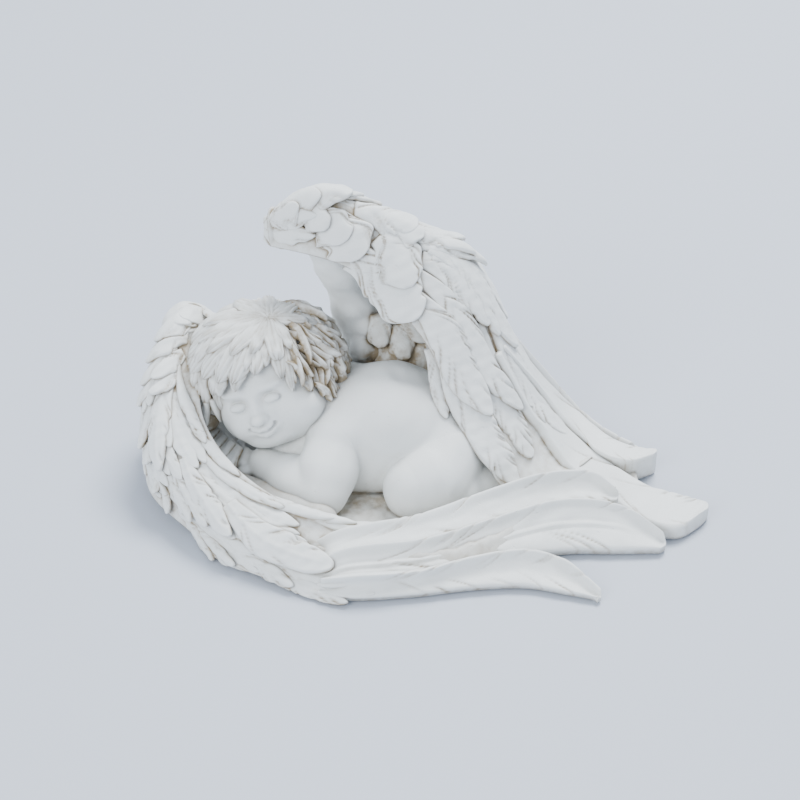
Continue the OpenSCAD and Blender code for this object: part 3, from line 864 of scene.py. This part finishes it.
def tongue(rails, side, thick=1.6, drop=3.0, lip=1.4, hollow=1.2, shaft=0.0, cuts=8, cell=0.46,
           dirt=0.2):
    """A long flight feather on a sheet of its own, which runs down to the ground underneath.

    drop is how far it reaches below the sheet, lip how high its rolled rim stands, hollow how deep
    its middle is, and shaft how high its shaft is.
    """
    shaft_at = 0.55
    sheet = Sheet(rails, side)
    cell = cell * COARSE
    ends = np.linspace(0, 1, 33)
    length = run_length(sheet.point(ends, ends * 0 + 0.5))
    widths = np.linalg.norm(sheet.point(ends, ends * 0) - sheet.point(ends, ends * 0 + 1), axis=1)
    rows, cols = int(length / cell * 1.2), int(widths.max() / cell * 1.3) | 1
    t = 1 - (1 - np.linspace(0, 1, rows)) ** 1.25
    tt, ss = np.meshgrid(t, 0.5 + 0.5 * crowded(cols), indexing="ij")
    up = sheet.normal(tt, ss)
    seat = sheet.point(tt, ss) - up
    width = np.interp(tt, ends, widths)
    from_lip = ss * width
    to_edge = np.minimum(np.minimum(from_lip, width - from_lip), length * np.minimum(1 - tt, tt * 3))
    roll = round_over(to_edge, 1.1)
    y = (2 * ss - 1) * width / 2
    groove = barb_cuts(tt * length, y, width / 2, length, cuts, 0.55)
    from_shaft = (ss - shaft_at) * width
    quill = shaft * (bell(from_shaft, 0.5) - 0.5 * bell(abs(from_shaft) - 1.0, 0.4))
    quill *= smooth((0.9 - tt) / 0.15)
    rise = lip * bell(from_lip - 1.0, 1.1) - hollow * np.sin(np.pi * np.clip(ss, 0, 1)) ** 2
    rise += 0.12 * ripples(np.stack([tt * length, from_lip * 2], -1), 9, int(length * 10))
    top = thick * (0.3 + 0.7 * roll) + (rise + quill - groove) * roll
    top_points = seat + up * top[..., None]
    low_points = seat + up * (thick * 0.3 * (1 - roll))[..., None]
    low_points[..., 2] -= drop * roll
    keep_above(GROUND, top_points, low_points)
    grime = dirt * (1 - roll) * 0.6 + groove * 1.2
    return pillow(top_points, low_points, grime, np.full_like(grime, dirt))


def rear_arm(p):
    arm = chain(p, [((-10, 41, 10), 9), ((-15, 41, 24), 7.5), ((-19, 40, 40), 5.5),
                    ((-23, 37, 56), 5.5), ((-30, 34, 70), 5)], 5)
    # Worn bumps, and the mass that the scapular feathers lie on
    for spot, size in (((-16, 35, 37), 3), ((-17, 33, 31), 3.4), ((-13.5, 34, 29), 2.8)):
        arm = join(arm, ball(p, spot, size), 1.0)
    arm = arm + 0.25 * ripples(p, 5, 21)
    arm = join(arm, egg(p, (-3, 37, 29), (11, 3.6, 11)), 2)
    return np.maximum(arm, ROOTED - p[:, 2])


def front_arm(p):
    arm = chain(p, [((-24, 42, 10), 7.5), ((-42, 43, 16), 6.5), ((-57, 40, 28), 5.5),
                    ((-65.5, 34.5, 36.6), 6.4), ((-67, 28, 36.8), 4.8)], 4)
    return np.maximum(arm + 0.25 * ripples(p, 5, 22), ROOTED - p[:, 2])


# Scapular feathers on the near side of the raised wing's arm, from top to bottom and left to right
SHOULDER = Sheet([[(-15, 36, 42), (-13, 33.5, 33), (-11, 31.5, 25)],
                  [(-6, 37, 42), (-4, 33.5, 33), (-2, 31.5, 24)],
                  [(3, 39, 42), (5, 36, 33), (8, 33, 23)]], 1)
SCAPULARS = [
    ((0.05, 0.5), (0.5, 0.8), 8), ((0.1, 0.1), (0.55, 0.1), 7), ((0.35, 0.85), (0.84, 0.95), 8.5),
    ((0.26, 0.4), (0.72, 0.4), 8), ((0.5, 0.62), (1.08, 0.66), 9), ((0.5, 0.2), (1.02, 0.15), 9),
]

# The outer side of the front wing's arm, which climbs behind the head: top, middle and bottom
ARM = Sheet([[(-22, 41, 18), (-40, 42, 23.5), (-54, 38.5, 34), (-62, 35, 42)],
             [(-24, 49.5, 11), (-43, 49.5, 17), (-60, 45.5, 29), (-69, 40, 38)],
             [(-26, 46, 3), (-46, 47, 8), (-64, 42.5, 19), (-73, 37, 28)]], -1)


def wing_arm_pieces(feather):
    rear = carved_form(rear_arm, (-38, 18, 2), (14, 52, 77), 0.45, arm_grime)
    front = carved_form(front_arm, (-75, 21, 2), (-14, 52, 46), 0.5, 0.2)
    scapulars = plumes(SHOULDER, SCAPULARS, thick=2.2, lift=2.6, sink=0.4, cuts=12, ridge=0, dirt=0.9,
                       camber=0.6, tint=0.6)
    plumage("rear_wing_arm_form", [rear] + scapulars, feather, "rear_wing_arm")
    plumage("front_wing_arm_form", [front] + arm_scales(), feather, "front_wing_arm")


def arm_scales():
    """Three rows of scales over the outer side of the front wing's arm, the lowest first."""
    forms = []
    for low, high, base in ((0.42, 1.04, -0.4), (-0.05, 0.6, 0.3), (-0.5, 0.15, 0.6)):
        for i in range(9):
            u = 0.05 + 0.95 * (i + 0.5 + draw(-0.15, 0.15)) / 9
            forms.append(blade(ARM, (u, low), (u - 0.06, high + draw(-0.06, 0.06)), 9,
                               base=base, lift=2, thick=1.4, cuts=7, ridge=0.2))
    return forms


def arm_grime(p):
    """Dirt in the hollow where the raised wing's arm stands behind the cherub's back."""
    return smooth((48 - p[:, 2]) / 18) * smooth((p[:, 0] + 20) / 10)


def lining_slats():
    """Flat slats of the front wing's lining beside the cherub's face, on a plate of their own."""
    # The height, half the width and the two ends of each slat, and of the plate
    strips = [(15.0, 1.0, (-62.3, 12.7), (-59.3, 20.3)), (15.0, 1.0, (-60.5, 9.0), (-57.3, 17.0)),
              (15.0, 1.0, (-58.2, 5.6), (-54.8, 13.4)), (15.0, 1.0, (-55.7, 2.8), (-52.4, 10.4)),
              (14.0, 7.0, (-59.2, 5.5), (-55.5, 16.5))]
    forms = []
    for height, half, *ends in strips:
        rails = []
        for k in (-half, 0, half):
            near, far = (np.array([x + 0.85 * k, y - 1.15 * k, height]) for x, y in ends)
            rails.append([near, (near + far) / 2, far])
        forms.append(tongue(rails, -1, thick=1.4, lip=0, hollow=0, cuts=0, cell=0.35, dirt=1.0,
                            drop=5))
    return forms


def web_pieces(feather):
    rear = [web_form(REAR, 260, 170, 9, 0.86)]
    front = [web_form(FRONT, 340, 130, 6)] + lining_slats()
    plumage("rear_wing_web_form", rear, feather, "rear_wing_web")
    plumage("front_wing_web_form", front, feather, "front_wing_web")


# ---- the raised rear wing ----

# Feathers of the raised wing as (root, tip, width), with root and tip as (u, v) on REAR
REAR_LESSER = [
    ((-0.03, 0.08), (0.1, 0.1), 8, dict(camber=0.5, base=-0.7, point=0.6)),
    ((-0.03, 0.24), (0.115, 0.21), 8, dict(camber=0.5, base=-0.4, point=0.6)),
    ((-0.02, 0.38), (0.1, 0.32), 8, dict(camber=0.5, base=-0.6, point=0.5)),
    ((0.02, 0.56), (0.11, 0.455), 7, dict(base=-0.6, point=0.6)),
    ((0.07, 0.58), (0.17, 0.465), 7, dict(base=-0.4, point=0.6)),
    ((0.13, 0.56), (0.215, 0.475), 6, dict(base=-0.4, point=0.6)),
    ((0.0, 0.22), (0.085, 0.305), 7), ((0.015, 0.43), (0.13, 0.345), 7),
    ((0.05, 0.475), (0.19, 0.405), 7), ((0.136, 0.21), (0.176, 0.045), 14),
    ((0.107, 0.21), (0.158, 0.1), 12), ((0.084, 0.285), (0.126, 0.14), 9),
]
REAR_GREATER = [
    ((0.16, 0.05), (0.36, 0.02), 16, dict(cuts=10, thick=1.9)),
    ((0.235, 0.19), (0.315, 0.07), 14, dict(cuts=10, thick=2.0)),
    ((0.22, 0.275), (0.325, 0.295), 9), ((0.193, 0.31), (0.311, 0.355), 9),
    ((0.321, 0.24), (0.456, 0.435), 6, dict(point=0.7, curl=1)),
    ((0.266, 0.28), (0.429, 0.375), 6, dict(point=0.7, curl=1)),
    ((0.297, 0.31), (0.403, 0.43), 6, dict(point=0.7, curl=1)),
]
REAR_SECONDARIES = [
    ((0.42, 0.0), (0.561, -0.03), 5, dict(base=-1.2)),
    ((0.34, 0.25), (0.545, 0.31), 6), ((0.349, 0.24), (0.584, 0.43), 9),
    ((0.33, 0.19), (0.52, 0.27), 9.5, dict(base=0.1)),
    ((0.33, 0.12), (0.685, 0.25), 8.5, dict(base=0.4, bow=-0.03)),
    ((0.32, 0.055), (0.64, 0.105), 10.5, dict(base=0.8, bow=-0.01)),
]
REAR_PRIMARIES = [
    ((0.5, 0.34), (0.8, 0.42), 10, dict(base=-0.4)), ((0.5, 0.22), (0.79, 0.17), 10, dict(base=-0.8)),
    ((0.4, 0.06), (0.83, 0.05), 11, dict(base=0.0)),
]
# The three rails of each flight feather at the raised wing's end
MAIN_TIP = [
    [(20, 19, 38), (28.9, 14.5, 21.9), (33.2, 13, 16.5), (40, 7, 8.8), (48.8, 0, 5.8), (55, -8, 5),
     (62, -13.6, 4.5), (69, -15, 4.5), (75.5, -9.5, 4.5)],
    [(21, 21, 38), (30, 18.5, 22.5), (35.5, 17, 16), (42.5, 12, 9), (51, 5.5, 5.8), (58, -1.5, 5),
     (65, -6.5, 4.6), (72, -7.5, 4.6), (78, -6, 4.6)],
    [(22, 23, 38), (31.5, 23, 24.3), (38.1, 21, 15.9), (45.3, 17.2, 9.9), (52.8, 11.4, 6.8),
     (61.8, 3.2, 5.5), (67, 0.6, 5.3), (72, -1.6, 5.2), (77.3, -4, 5)],
]
FAR_TIP = [
    [(21.5, 22, 38), (31.5, 23, 24.5), (38.1, 21, 16.2), (45.3, 17.3, 10.2), (49.2, 13.3, 8.4),
     (54.9, 10.2, 7.7), (59.3, 10.3, 7.4), (64.5, 13, 7.5)],
    [(22.5, 24.5, 39), (33, 27, 23.5), (40.5, 26, 14.5), (46.5, 20.5, 10.8), (51, 16, 9.2), (56, 13.6, 8.5),
     (60.5, 13.4, 8), (66, 15, 7.8)],
    [(24, 29, 38), (35, 32, 21), (43, 31, 12.5), (49, 25.5, 9.6), (54, 20.5, 8.6), (59, 17.8, 8),
     (62.5, 16.8, 7.8), (65.8, 16.4, 7.6)],
]
BACK_TIP = [
    [(26, 30, 34), (37, 31, 19), (45, 29, 10), (52, 24, 7), (58, 20.5, 6)],
    [(24, 35, 30), (35, 36, 16.5), (44.5, 33, 8.5), (53, 26.5, 6), (61, 20.5, 5.2)],
    [(19, 41, 23), (30, 42, 12), (41, 38, 6), (51, 30.5, 4.6), (61.5, 22, 4.4)],
]


def rear_wing(feather):
    worn = dict(ridge=0, wobble=0.07, camber=0.35)
    lesser = feather_row(REAR, 0.02, 0.17, 0.5, 1.0, 6, 9.5, 0.02, base=0.0, lift=2.4)
    lesser += feather_row(REAR, 0.11, 0.26, 0.53, 1.0, 7, 9, 0.02, base=-0.2, lift=2.3)
    lesser += plumes(REAR, REAR_LESSER, base=0.3, lift=2.5, thick=1.3, cuts=12, **worn)
    greater = feather_row(REAR, 0.2, 0.40, 0.44, 1.0, 8, 9, 0.02, base=-0.5, lift=2.4, cuts=5)
    greater += feather_row(REAR, 0.13, 0.30, 0.08, 0.45, 4, 10, base=-1.4, lift=1.6)
    greater += plumes(REAR, REAR_GREATER, base=0.1, lift=2.4, thick=1.4, cuts=9, **worn)
    flights = feather_row(REAR, 0.32, 0.72, 0.5, 0.98, 6, 10, base=0.0, lift=1.4, cuts=7, ridge=0.5)
    flights += feather_row(REAR, 0.3, 0.54, 0.45, 1.0, 8, 8.5, base=0.0, lift=2.0, cuts=5, ridge=0.4)
    flights += plumes(REAR, REAR_PRIMARIES, lift=0.7, sink=1.6, thick=1.6, cuts=18, ridge=0, camber=0.1)
    flights += plumes(REAR, REAR_SECONDARIES, base=0.4, lift=1.3, thick=1.5, cuts=15, camber=0.1, ridge=0)
    flights.append(tongue(BACK_TIP, 1, drop=8, shaft=0.5, cuts=9))
    flights.append(tongue(FAR_TIP, 1, drop=9, cuts=6, lip=0.5, hollow=0.4))
    flights.append(tongue(MAIN_TIP, 1, drop=6, cuts=10, lip=0.4, hollow=0.3))
    plumage("rear_wing_lesser_covert_feathers", lesser, feather, "rear_wing_lesser_coverts")
    plumage("rear_wing_greater_covert_feathers", greater, feather, "rear_wing_greater_coverts")
    plumage("rear_wing_flight_feather_forms", flights, feather, "rear_wing_flight_feathers")


# ---- the front wing, which wraps round the cherub ----

# Its feathers as (root, tip, width), with root and tip as (u, v) on FRONT
FRONT_LESSER = [
    ((0.17, 0.135), (0.216, 0.405), 6), ((0.204, 0.15), (0.242, 0.425), 6),
    ((0.143, 0.12), (0.165, 0.6), 6.5), ((0.098, 0.015), (0.13, 0.57), 7.5),
]
FRONT_GREATER = [
    ((0.165, 0.205), (0.2, 0.62), 6.5), ((0.203, 0.35), (0.223, 0.69), 6),
    ((0.245, 0.47), (0.288, 0.765), 6), ((0.297, 0.47), (0.321, 0.75), 6),
    ((0.285, 0.69), (0.329, 0.7), 5), ((0.344, 0.76), (0.364, 0.87), 5),
    ((0.369, 0.81), (0.406, 0.94), 5), ((0.37, 0.6), (0.455, 0.785), 5),
    ((0.371, 0.5), (0.481, 0.695), 5.5), ((0.413, 0.88), (0.519, 1.06), 4.5),
    ((0.45, 0.9), (0.547, 0.965), 5), ((0.544, 0.8), (0.611, 0.995), 5),
    ((0.55, 0.84), (0.664, 1.08), 5), ((0.515, 0.58), (0.688, 0.98), 6),
    ((0.21, 0.22), (0.361, 0.6), 7, dict(cuts=8)),
    ((0.366, 0.31), (0.517, 0.62), 6.5, dict(cuts=8, base=0.4)),
    ((0.474, 0.33), (0.635, 0.68), 9, dict(cuts=10, point=0, base=0.9, thick=1.8)),
]
FRONT_RIM = [
    ((0.19, 0.175), (0.341, 0.045), 3.6), ((0.26, 0.075), (0.362, 0.07), 3.4),
    ((0.307, 0.07), (0.445, 0.035), 3.6), ((0.37, 0.145), (0.535, 0.065), 3.8),
    ((0.453, 0.065), (0.605, -0.005), 3.6), ((0.52, 0.01), (0.636, -0.015), 3.4),
    ((0.571, 0.03), (0.686, 0.07), 3.6), ((0.6, 0.0), (0.7, -0.03), 3.4),
    ((0.65, 0.05), (0.745, 0.0), 3.4),
]
# The three rails of each long feather along the front
UPPER_FLIGHT = [
    [(-27, -25, 8), (-18, -25, 12), (0, -20, 12), (16, -11.5, 13), (32, -4, 14.5),
     (46, -1.5, 13.5), (52, -6, 11)],
    [(-29, -29, 6.5), (-20, -29, 11.5), (0, -24, 12), (16, -16, 12), (32, -8.5, 12),
     (44, -6, 11.5), (53, -7.5, 10)],
    [(-30, -33, 5), (-22, -33, 9), (0, -29, 8.5), (16, -21, 8), (32, -13, 8), (44, -10, 9), (52, -9, 9)],
]
MIDDLE_FLIGHT = [
    [(-27, -32, 5), (-20, -31, 10), (0, -26.5, 10), (18, -18, 10), (36, -11, 10.5), (52, -11, 9),
     (63, -17, 5)],
    [(-28, -34.5, 4), (-20, -35, 8.5), (0, -31, 8), (18, -23, 7.5), (36, -16.5, 8), (52, -16, 7),
     (65, -19.5, 3.5)],
    [(-29, -37, 2.5), (-20, -39, 4), (0, -35, 3.5), (18, -28, 3), (36, -22.5, 2.5),
     (52, -22, 2.5), (63, -21.5, 2.5)],
]
LOWER_FLIGHT = [
    [(-26, -36, 5), (-18, -37.5, 8), (-2, -35.5, 7.5), (12, -30.5, 7.5), (26, -27.5, 7.5),
     (37, -30, 6), (45, -37.5, 2.5)],
    [(-27, -37.5, 3.5), (-18, -39.5, 5.2), (-2, -37.5, 5.2), (12, -34, 5.2), (26, -32, 5.2),
     (37, -35, 4), (46, -40, 2)],
    [(-28, -39, 2), (-18, -41, 2), (-2, -39.5, 2), (12, -37, 2), (26, -36, 2), (37, -38.5, 2),
     (45, -40.5, 2)],
]


def front_wing(feather):
    lesser = feather_row(FRONT, 0.0, 0.12, 0.15, 0.5, 3, 11, base=0.2, lift=1.8, nicks=0)
    lesser += feather_row(FRONT, 0.02, 0.14, 0.5, 1.0, 4, 9, base=0.2, lift=2.2)
    lesser += plumes(FRONT, FRONT_LESSER, base=0.3, lift=2.5, thick=1.3, cuts=12, dirt=0.5)
    greater = feather_row(FRONT, 0.08, 0.27, 0.45, 1.0, 6, 7, 0.03, base=-0.5, lift=1.8)
    greater += feather_row(FRONT, 0.2, 0.38, 0.1, 0.95, 8, 6.5, 0.04, base=-0.9, lift=1.8, cuts=10)
    greater += feather_row(FRONT, 0.34, 0.56, 0.12, 1.0, 8, 6.5, 0.04, base=-0.8, lift=1.8, cuts=10)
    greater += plumes(FRONT, FRONT_GREATER, base=0.0, lift=2.5, thick=1.3, cuts=12, dirt=0.5)
    greater += plumes(FRONT, FRONT_RIM, base=0.2, lift=1.7, thick=1.3, cuts=4, dirt=0.5)
    flights = [tongue(LOWER_FLIGHT, -1, cuts=20, drop=9),
               tongue(MIDDLE_FLIGHT, -1, cuts=18, drop=9, shaft=0.45),
               tongue(UPPER_FLIGHT, -1, cuts=18, drop=5)]
    plumage("front_wing_lesser_covert_feathers", lesser, feather, "front_wing_lesser_coverts")
    plumage("front_wing_greater_covert_feathers", greater, feather, "front_wing_greater_coverts")
    plumage("front_wing_flight_feather_forms", flights, feather, "front_wing_flight_feathers")


# ---- the nest base and the felt under it ----

BASE_MIDDLE = np.array([-5.0, 8.0])


def past_edge(p):
    """Roughly how far a point is outside the outline of the base."""
    ring = ring_spline(BASE_CORNERS, np.linspace(0, 0.9999, 721)) - BASE_MIDDLE
    aims = np.unwrap(np.arctan2(ring[:, 1], ring[:, 0]))
    way = p[:, :2] - BASE_MIDDLE
    aim = aims[0] + (np.arctan2(way[:, 1], way[:, 0]) - aims[0]) % (2 * np.pi)
    return np.hypot(way[:, 0], way[:, 1]) - np.interp(aim, aims, np.hypot(ring[:, 0], ring[:, 1]))


def nest_field(p):
    """An uneven floor with a low rim, and a mound beside the near forearm."""
    past = past_edge(p)
    flat = p * (1, 1, 0)
    rise = 4.5 * smooth((12 + past) / 9) * (1 - smooth((past + 5) / 5)) * smooth((42 - p[:, 0]) / 8)
    top = FLOOR_TOP + 0.35 * ripples(flat, 7, 31) + 0.22 * ripples(flat, 2.4, 32) + rise
    mound = join(p[:, 2] - top, cone(p, (-53, 1, 6), (-28, -14, 6.5), 5, 5), 3)
    return np.maximum(np.maximum(mound, past), GROUND - p[:, 2])


def nest_grime(p):
    return np.clip(0.25 + 0.35 * ripples(p * (1, 1, 0), 9, 33), 0, 1)


def felt_field(p):
    fringe = 0.25 * ripples(p, 1.1, 34)
    inset, middle, half = 4, 0.41, 0.4
    return np.maximum(past_edge(p) + inset + fringe, abs(p[:, 2] - middle) - half)


def base_pieces(resin_material, felt_material):
    nest = carved_form(nest_field, (-75, -37, 0), (63, 50, 11), 0.5, nest_grime)
    piece("nest_floor", [nest], resin_material, "resin_nest", "nest_base")
    felt = carved_form(felt_field, (-73, -34, -0.6), (60, 48, 1.6), 0.45)
    piece("felt_sheet", [felt], felt_material, "felt", "felt_pad")


# ---- materials ----

class Recipe:
    """A node material, built node by node."""

    def __init__(self, name):
        self.material = bpy.data.materials.new(name)
        self.material.use_nodes = True
        self.tree = self.material.node_tree
        self.shader = self.tree.nodes["Principled BSDF"]

    def add(self, kind, inputs=(), **settings):
        node = self.tree.nodes.new(kind)
        for name, value in settings.items():
            setattr(node, name, value)
        for socket, value in dict(inputs).items():
            self.feed(node.inputs[socket], value)
        return node

    def feed(self, socket, value):
        if isinstance(value, bpy.types.NodeSocket):
            self.tree.links.new(value, socket)
        else:
            socket.default_value = value

    def noise(self, scale, detail=3.0, roughness=0.55):
        where = self.add("ShaderNodeTexCoord").outputs["Object"]
        return self.add("ShaderNodeTexNoise", {"Vector": where, "Scale": scale, "Detail": detail,
                                               "Roughness": roughness}).outputs["Fac"]

    def open_sky(self, reach):
        """1 in the open, and less where something within reach shades the surface."""
        return self.add("ShaderNodeAmbientOcclusion", {"Distance": reach}, samples=6).outputs["AO"]

    def spread(self, value, low, high, to_low=0.0, to_high=1.0):
        """Stretches the part of value between low and high."""
        return self.add("ShaderNodeMapRange", {"Value": value, "From Min": low, "From Max": high,
                                               "To Min": to_low, "To Max": to_high}).outputs["Result"]

    def plus(self, a, b):
        return self.add("ShaderNodeMath", {0: a, 1: b}, operation="ADD", use_clamp=True).outputs[0]

    def times(self, a, b):
        return self.add("ShaderNodeMath", {0: a, 1: b}, operation="MULTIPLY", use_clamp=True).outputs[0]

    def mix(self, share, a, b):
        node = self.add("ShaderNodeMix", data_type="RGBA")
        for socket, value in ((node.inputs["Factor"], share), (node.inputs[6], a), (node.inputs[7], b)):
            self.feed(socket, value)
        return node.outputs[2]

    def colour(self, value):
        self.feed(self.shader.inputs["Base Color"], value)

    def raise_by(self, height, strength, distance):
        bump = self.add("ShaderNodeBump", {"Height": height, "Strength": strength, "Distance": distance})
        self.feed(self.shader.inputs["Normal"], bump.outputs["Normal"])


# How near to one another the walls of a hollow and of a crease are
HOLLOW_REACH, CREASE_REACH = 0.006, 0.0009


def darker(colour, share):
    return tuple(part * share for part in colour[:3]) + (1,)


def resin(name, clean, stain, stain_amount, grain):
    """Matte cast resin, with stain settled in its hollows, painted shade greying its hollows and creases, a
    fine grain and a few pinholes.
    """
    made = Recipe(name)
    worn = made.spread(made.noise(130, 2), 0.35, 0.7)
    painted = made.add("ShaderNodeAttribute", attribute_name="grime").outputs["Fac"]
    wide = made.open_sky(HOLLOW_REACH)
    tight = made.open_sky(CREASE_REACH)
    # The hollow and crease readings drive both the stain settled there and the painted shade below
    hollow = made.spread(wide, 0.3, 0.95, 1, 0)
    crease = made.spread(tight, 0.45, 0.97, 1, 0)
    patchy = made.spread(made.noise(420, 3), 0.36, 0.6, 0.3, 1)
    settled = made.plus(made.times(hollow, 0.75), made.times(crease, 0.75))
    settled = made.plus(settled, 0.1)
    stained = made.times(made.times(made.plus(painted, 0.15), settled), patchy)
    stained = made.times(stained, stain_amount * 1.8)
    washed = made.times(made.times(painted, patchy), 0.3)
    stained = made.plus(stained, made.times(washed, stain_amount))
    shaded = made.mix(made.times(worn, 0.35), clean, darker(clean, 0.94))
    # Painted shade: the colour is darkened towards grey where the wide and tight ambient-occlusion readings
    # find hollows and creases
    shaded = made.mix(made.times(hollow, 0.25), shaded, darker(clean, 0.6))
    shaded = made.mix(made.times(crease, 0.65), shaded, darker(clean, 0.5))
    made.colour(made.mix(stained, shaded, stain))
    made.feed(made.shader.inputs["Roughness"], made.spread(made.noise(900, 2), 0.3, 0.7, 0.5, 0.68))
    made.shader.inputs["Specular IOR Level"].default_value = 0.4
    where = made.add("ShaderNodeTexCoord").outputs["Object"]
    cells = made.add("ShaderNodeTexVoronoi", {"Vector": where, "Scale": 260.0, "Randomness": 1.0})
    pits = made.spread(cells.outputs["Distance"], 0.05, 0.09)
    height = made.plus(made.spread(made.noise(1800, 3), 0, 1, 0, grain), made.spread(pits, 0, 1, 0, 0.5))
    made.raise_by(height, 0.6, 0.0003)
    return made.material


def skin_resin():
    return resin("skin_resin", (0.84, 0.86, 0.85, 1), (0.36, 0.29, 0.20, 1), 0.8, 0.25)


def hair_resin():
    return resin("hair_resin", (0.84, 0.85, 0.83, 1), (0.33, 0.26, 0.17, 1), 1.0, 0.3)


def feather_resin():
    return resin("feather_resin", (0.84, 0.86, 0.85, 1), (0.34, 0.27, 0.18, 1), 0.9, 0.35)


def nest_resin():
    return resin("nest_resin", (0.70, 0.70, 0.67, 1), (0.36, 0.29, 0.20, 1), 1.0, 0.5)


def black_felt():
    made = Recipe("black_felt")
    fibres = made.spread(made.noise(2600, 4, 0.7), 0.3, 0.7)
    made.colour(made.mix(fibres, (0.02, 0.02, 0.02, 1), (0.07, 0.07, 0.075, 1)))
    made.shader.inputs["Roughness"].default_value = 0.95
    made.raise_by(fibres, 0.8, 0.0004)
    return made.material


# ---- stage, light and camera ----

def pale_floor():
    made = Recipe("pale_floor")
    cloud = made.spread(made.noise(3, 2), 0.3, 0.7)
    made.colour(made.mix(cloud, (0.515, 0.555, 0.63, 1), (0.535, 0.575, 0.65, 1)))
    made.shader.inputs["Roughness"].default_value = 0.7
    bpy.ops.mesh.primitive_plane_add(size=6)
    floor = bpy.context.object
    floor.name = "floor"
    floor.data.materials.append(made.material)


def soft_light(name, place, size, watts, colour):
    """A round lamp that shines on the figurine's middle."""
    aim = (0, 0, 0.03)
    lamp = bpy.data.lights.new(name, "AREA")
    lamp.shape = "DISK"
    lamp.size = size
    lamp.energy = watts
    lamp.color = colour
    thing = bpy.data.objects.new(name, lamp)
    bpy.context.scene.collection.objects.link(thing)
    thing.location = place
    thing.rotation_euler = (Vector(aim) - Vector(place)).to_track_quat("-Z", "Y").to_euler()


def room():
    world = bpy.data.worlds.new("soft_room")
    world.use_nodes = True
    background = world.node_tree.nodes["Background"]
    background.inputs["Color"].default_value = (0.80, 0.88, 1.0, 1)
    background.inputs["Strength"].default_value = 1.05
    bpy.context.scene.world = world
    soft_light("overhead", (0.25, 0.45, 1.0), size=0.5, watts=20.5, colour=(0.95, 0.98, 1.0))
    soft_light("front", (-0.7, -0.9, 0.75), size=0.9, watts=14, colour=(0.94, 0.98, 1.0))


def camera():
    lens = bpy.data.cameras.new("view")
    lens.lens = 85
    lens.sensor_width = 36
    thing = bpy.data.objects.new("view", lens)
    bpy.context.scene.collection.objects.link(thing)
    target = Vector((-5.55, 18.05, 20)) * MM
    tilt = math.radians(35)
    distance = 0.53
    thing.location = target + Vector((0, -math.cos(tilt), math.sin(tilt))) * distance
    thing.rotation_euler = (target - thing.location).to_track_quat("-Z", "Y").to_euler()
    bpy.context.scene.camera = thing


# ---- the figurine ----

skin, feather = skin_resin(), feather_resin()
base_pieces(nest_resin(), black_felt())
for limb in LIMBS:
    body_piece(limb, skin)
head_piece(skin)
hair_piece(hair_resin())
wing_arm_pieces(feather)
web_pieces(feather)
rear_wing(feather)
front_wing(feather)
pale_floor()
room()
camera()
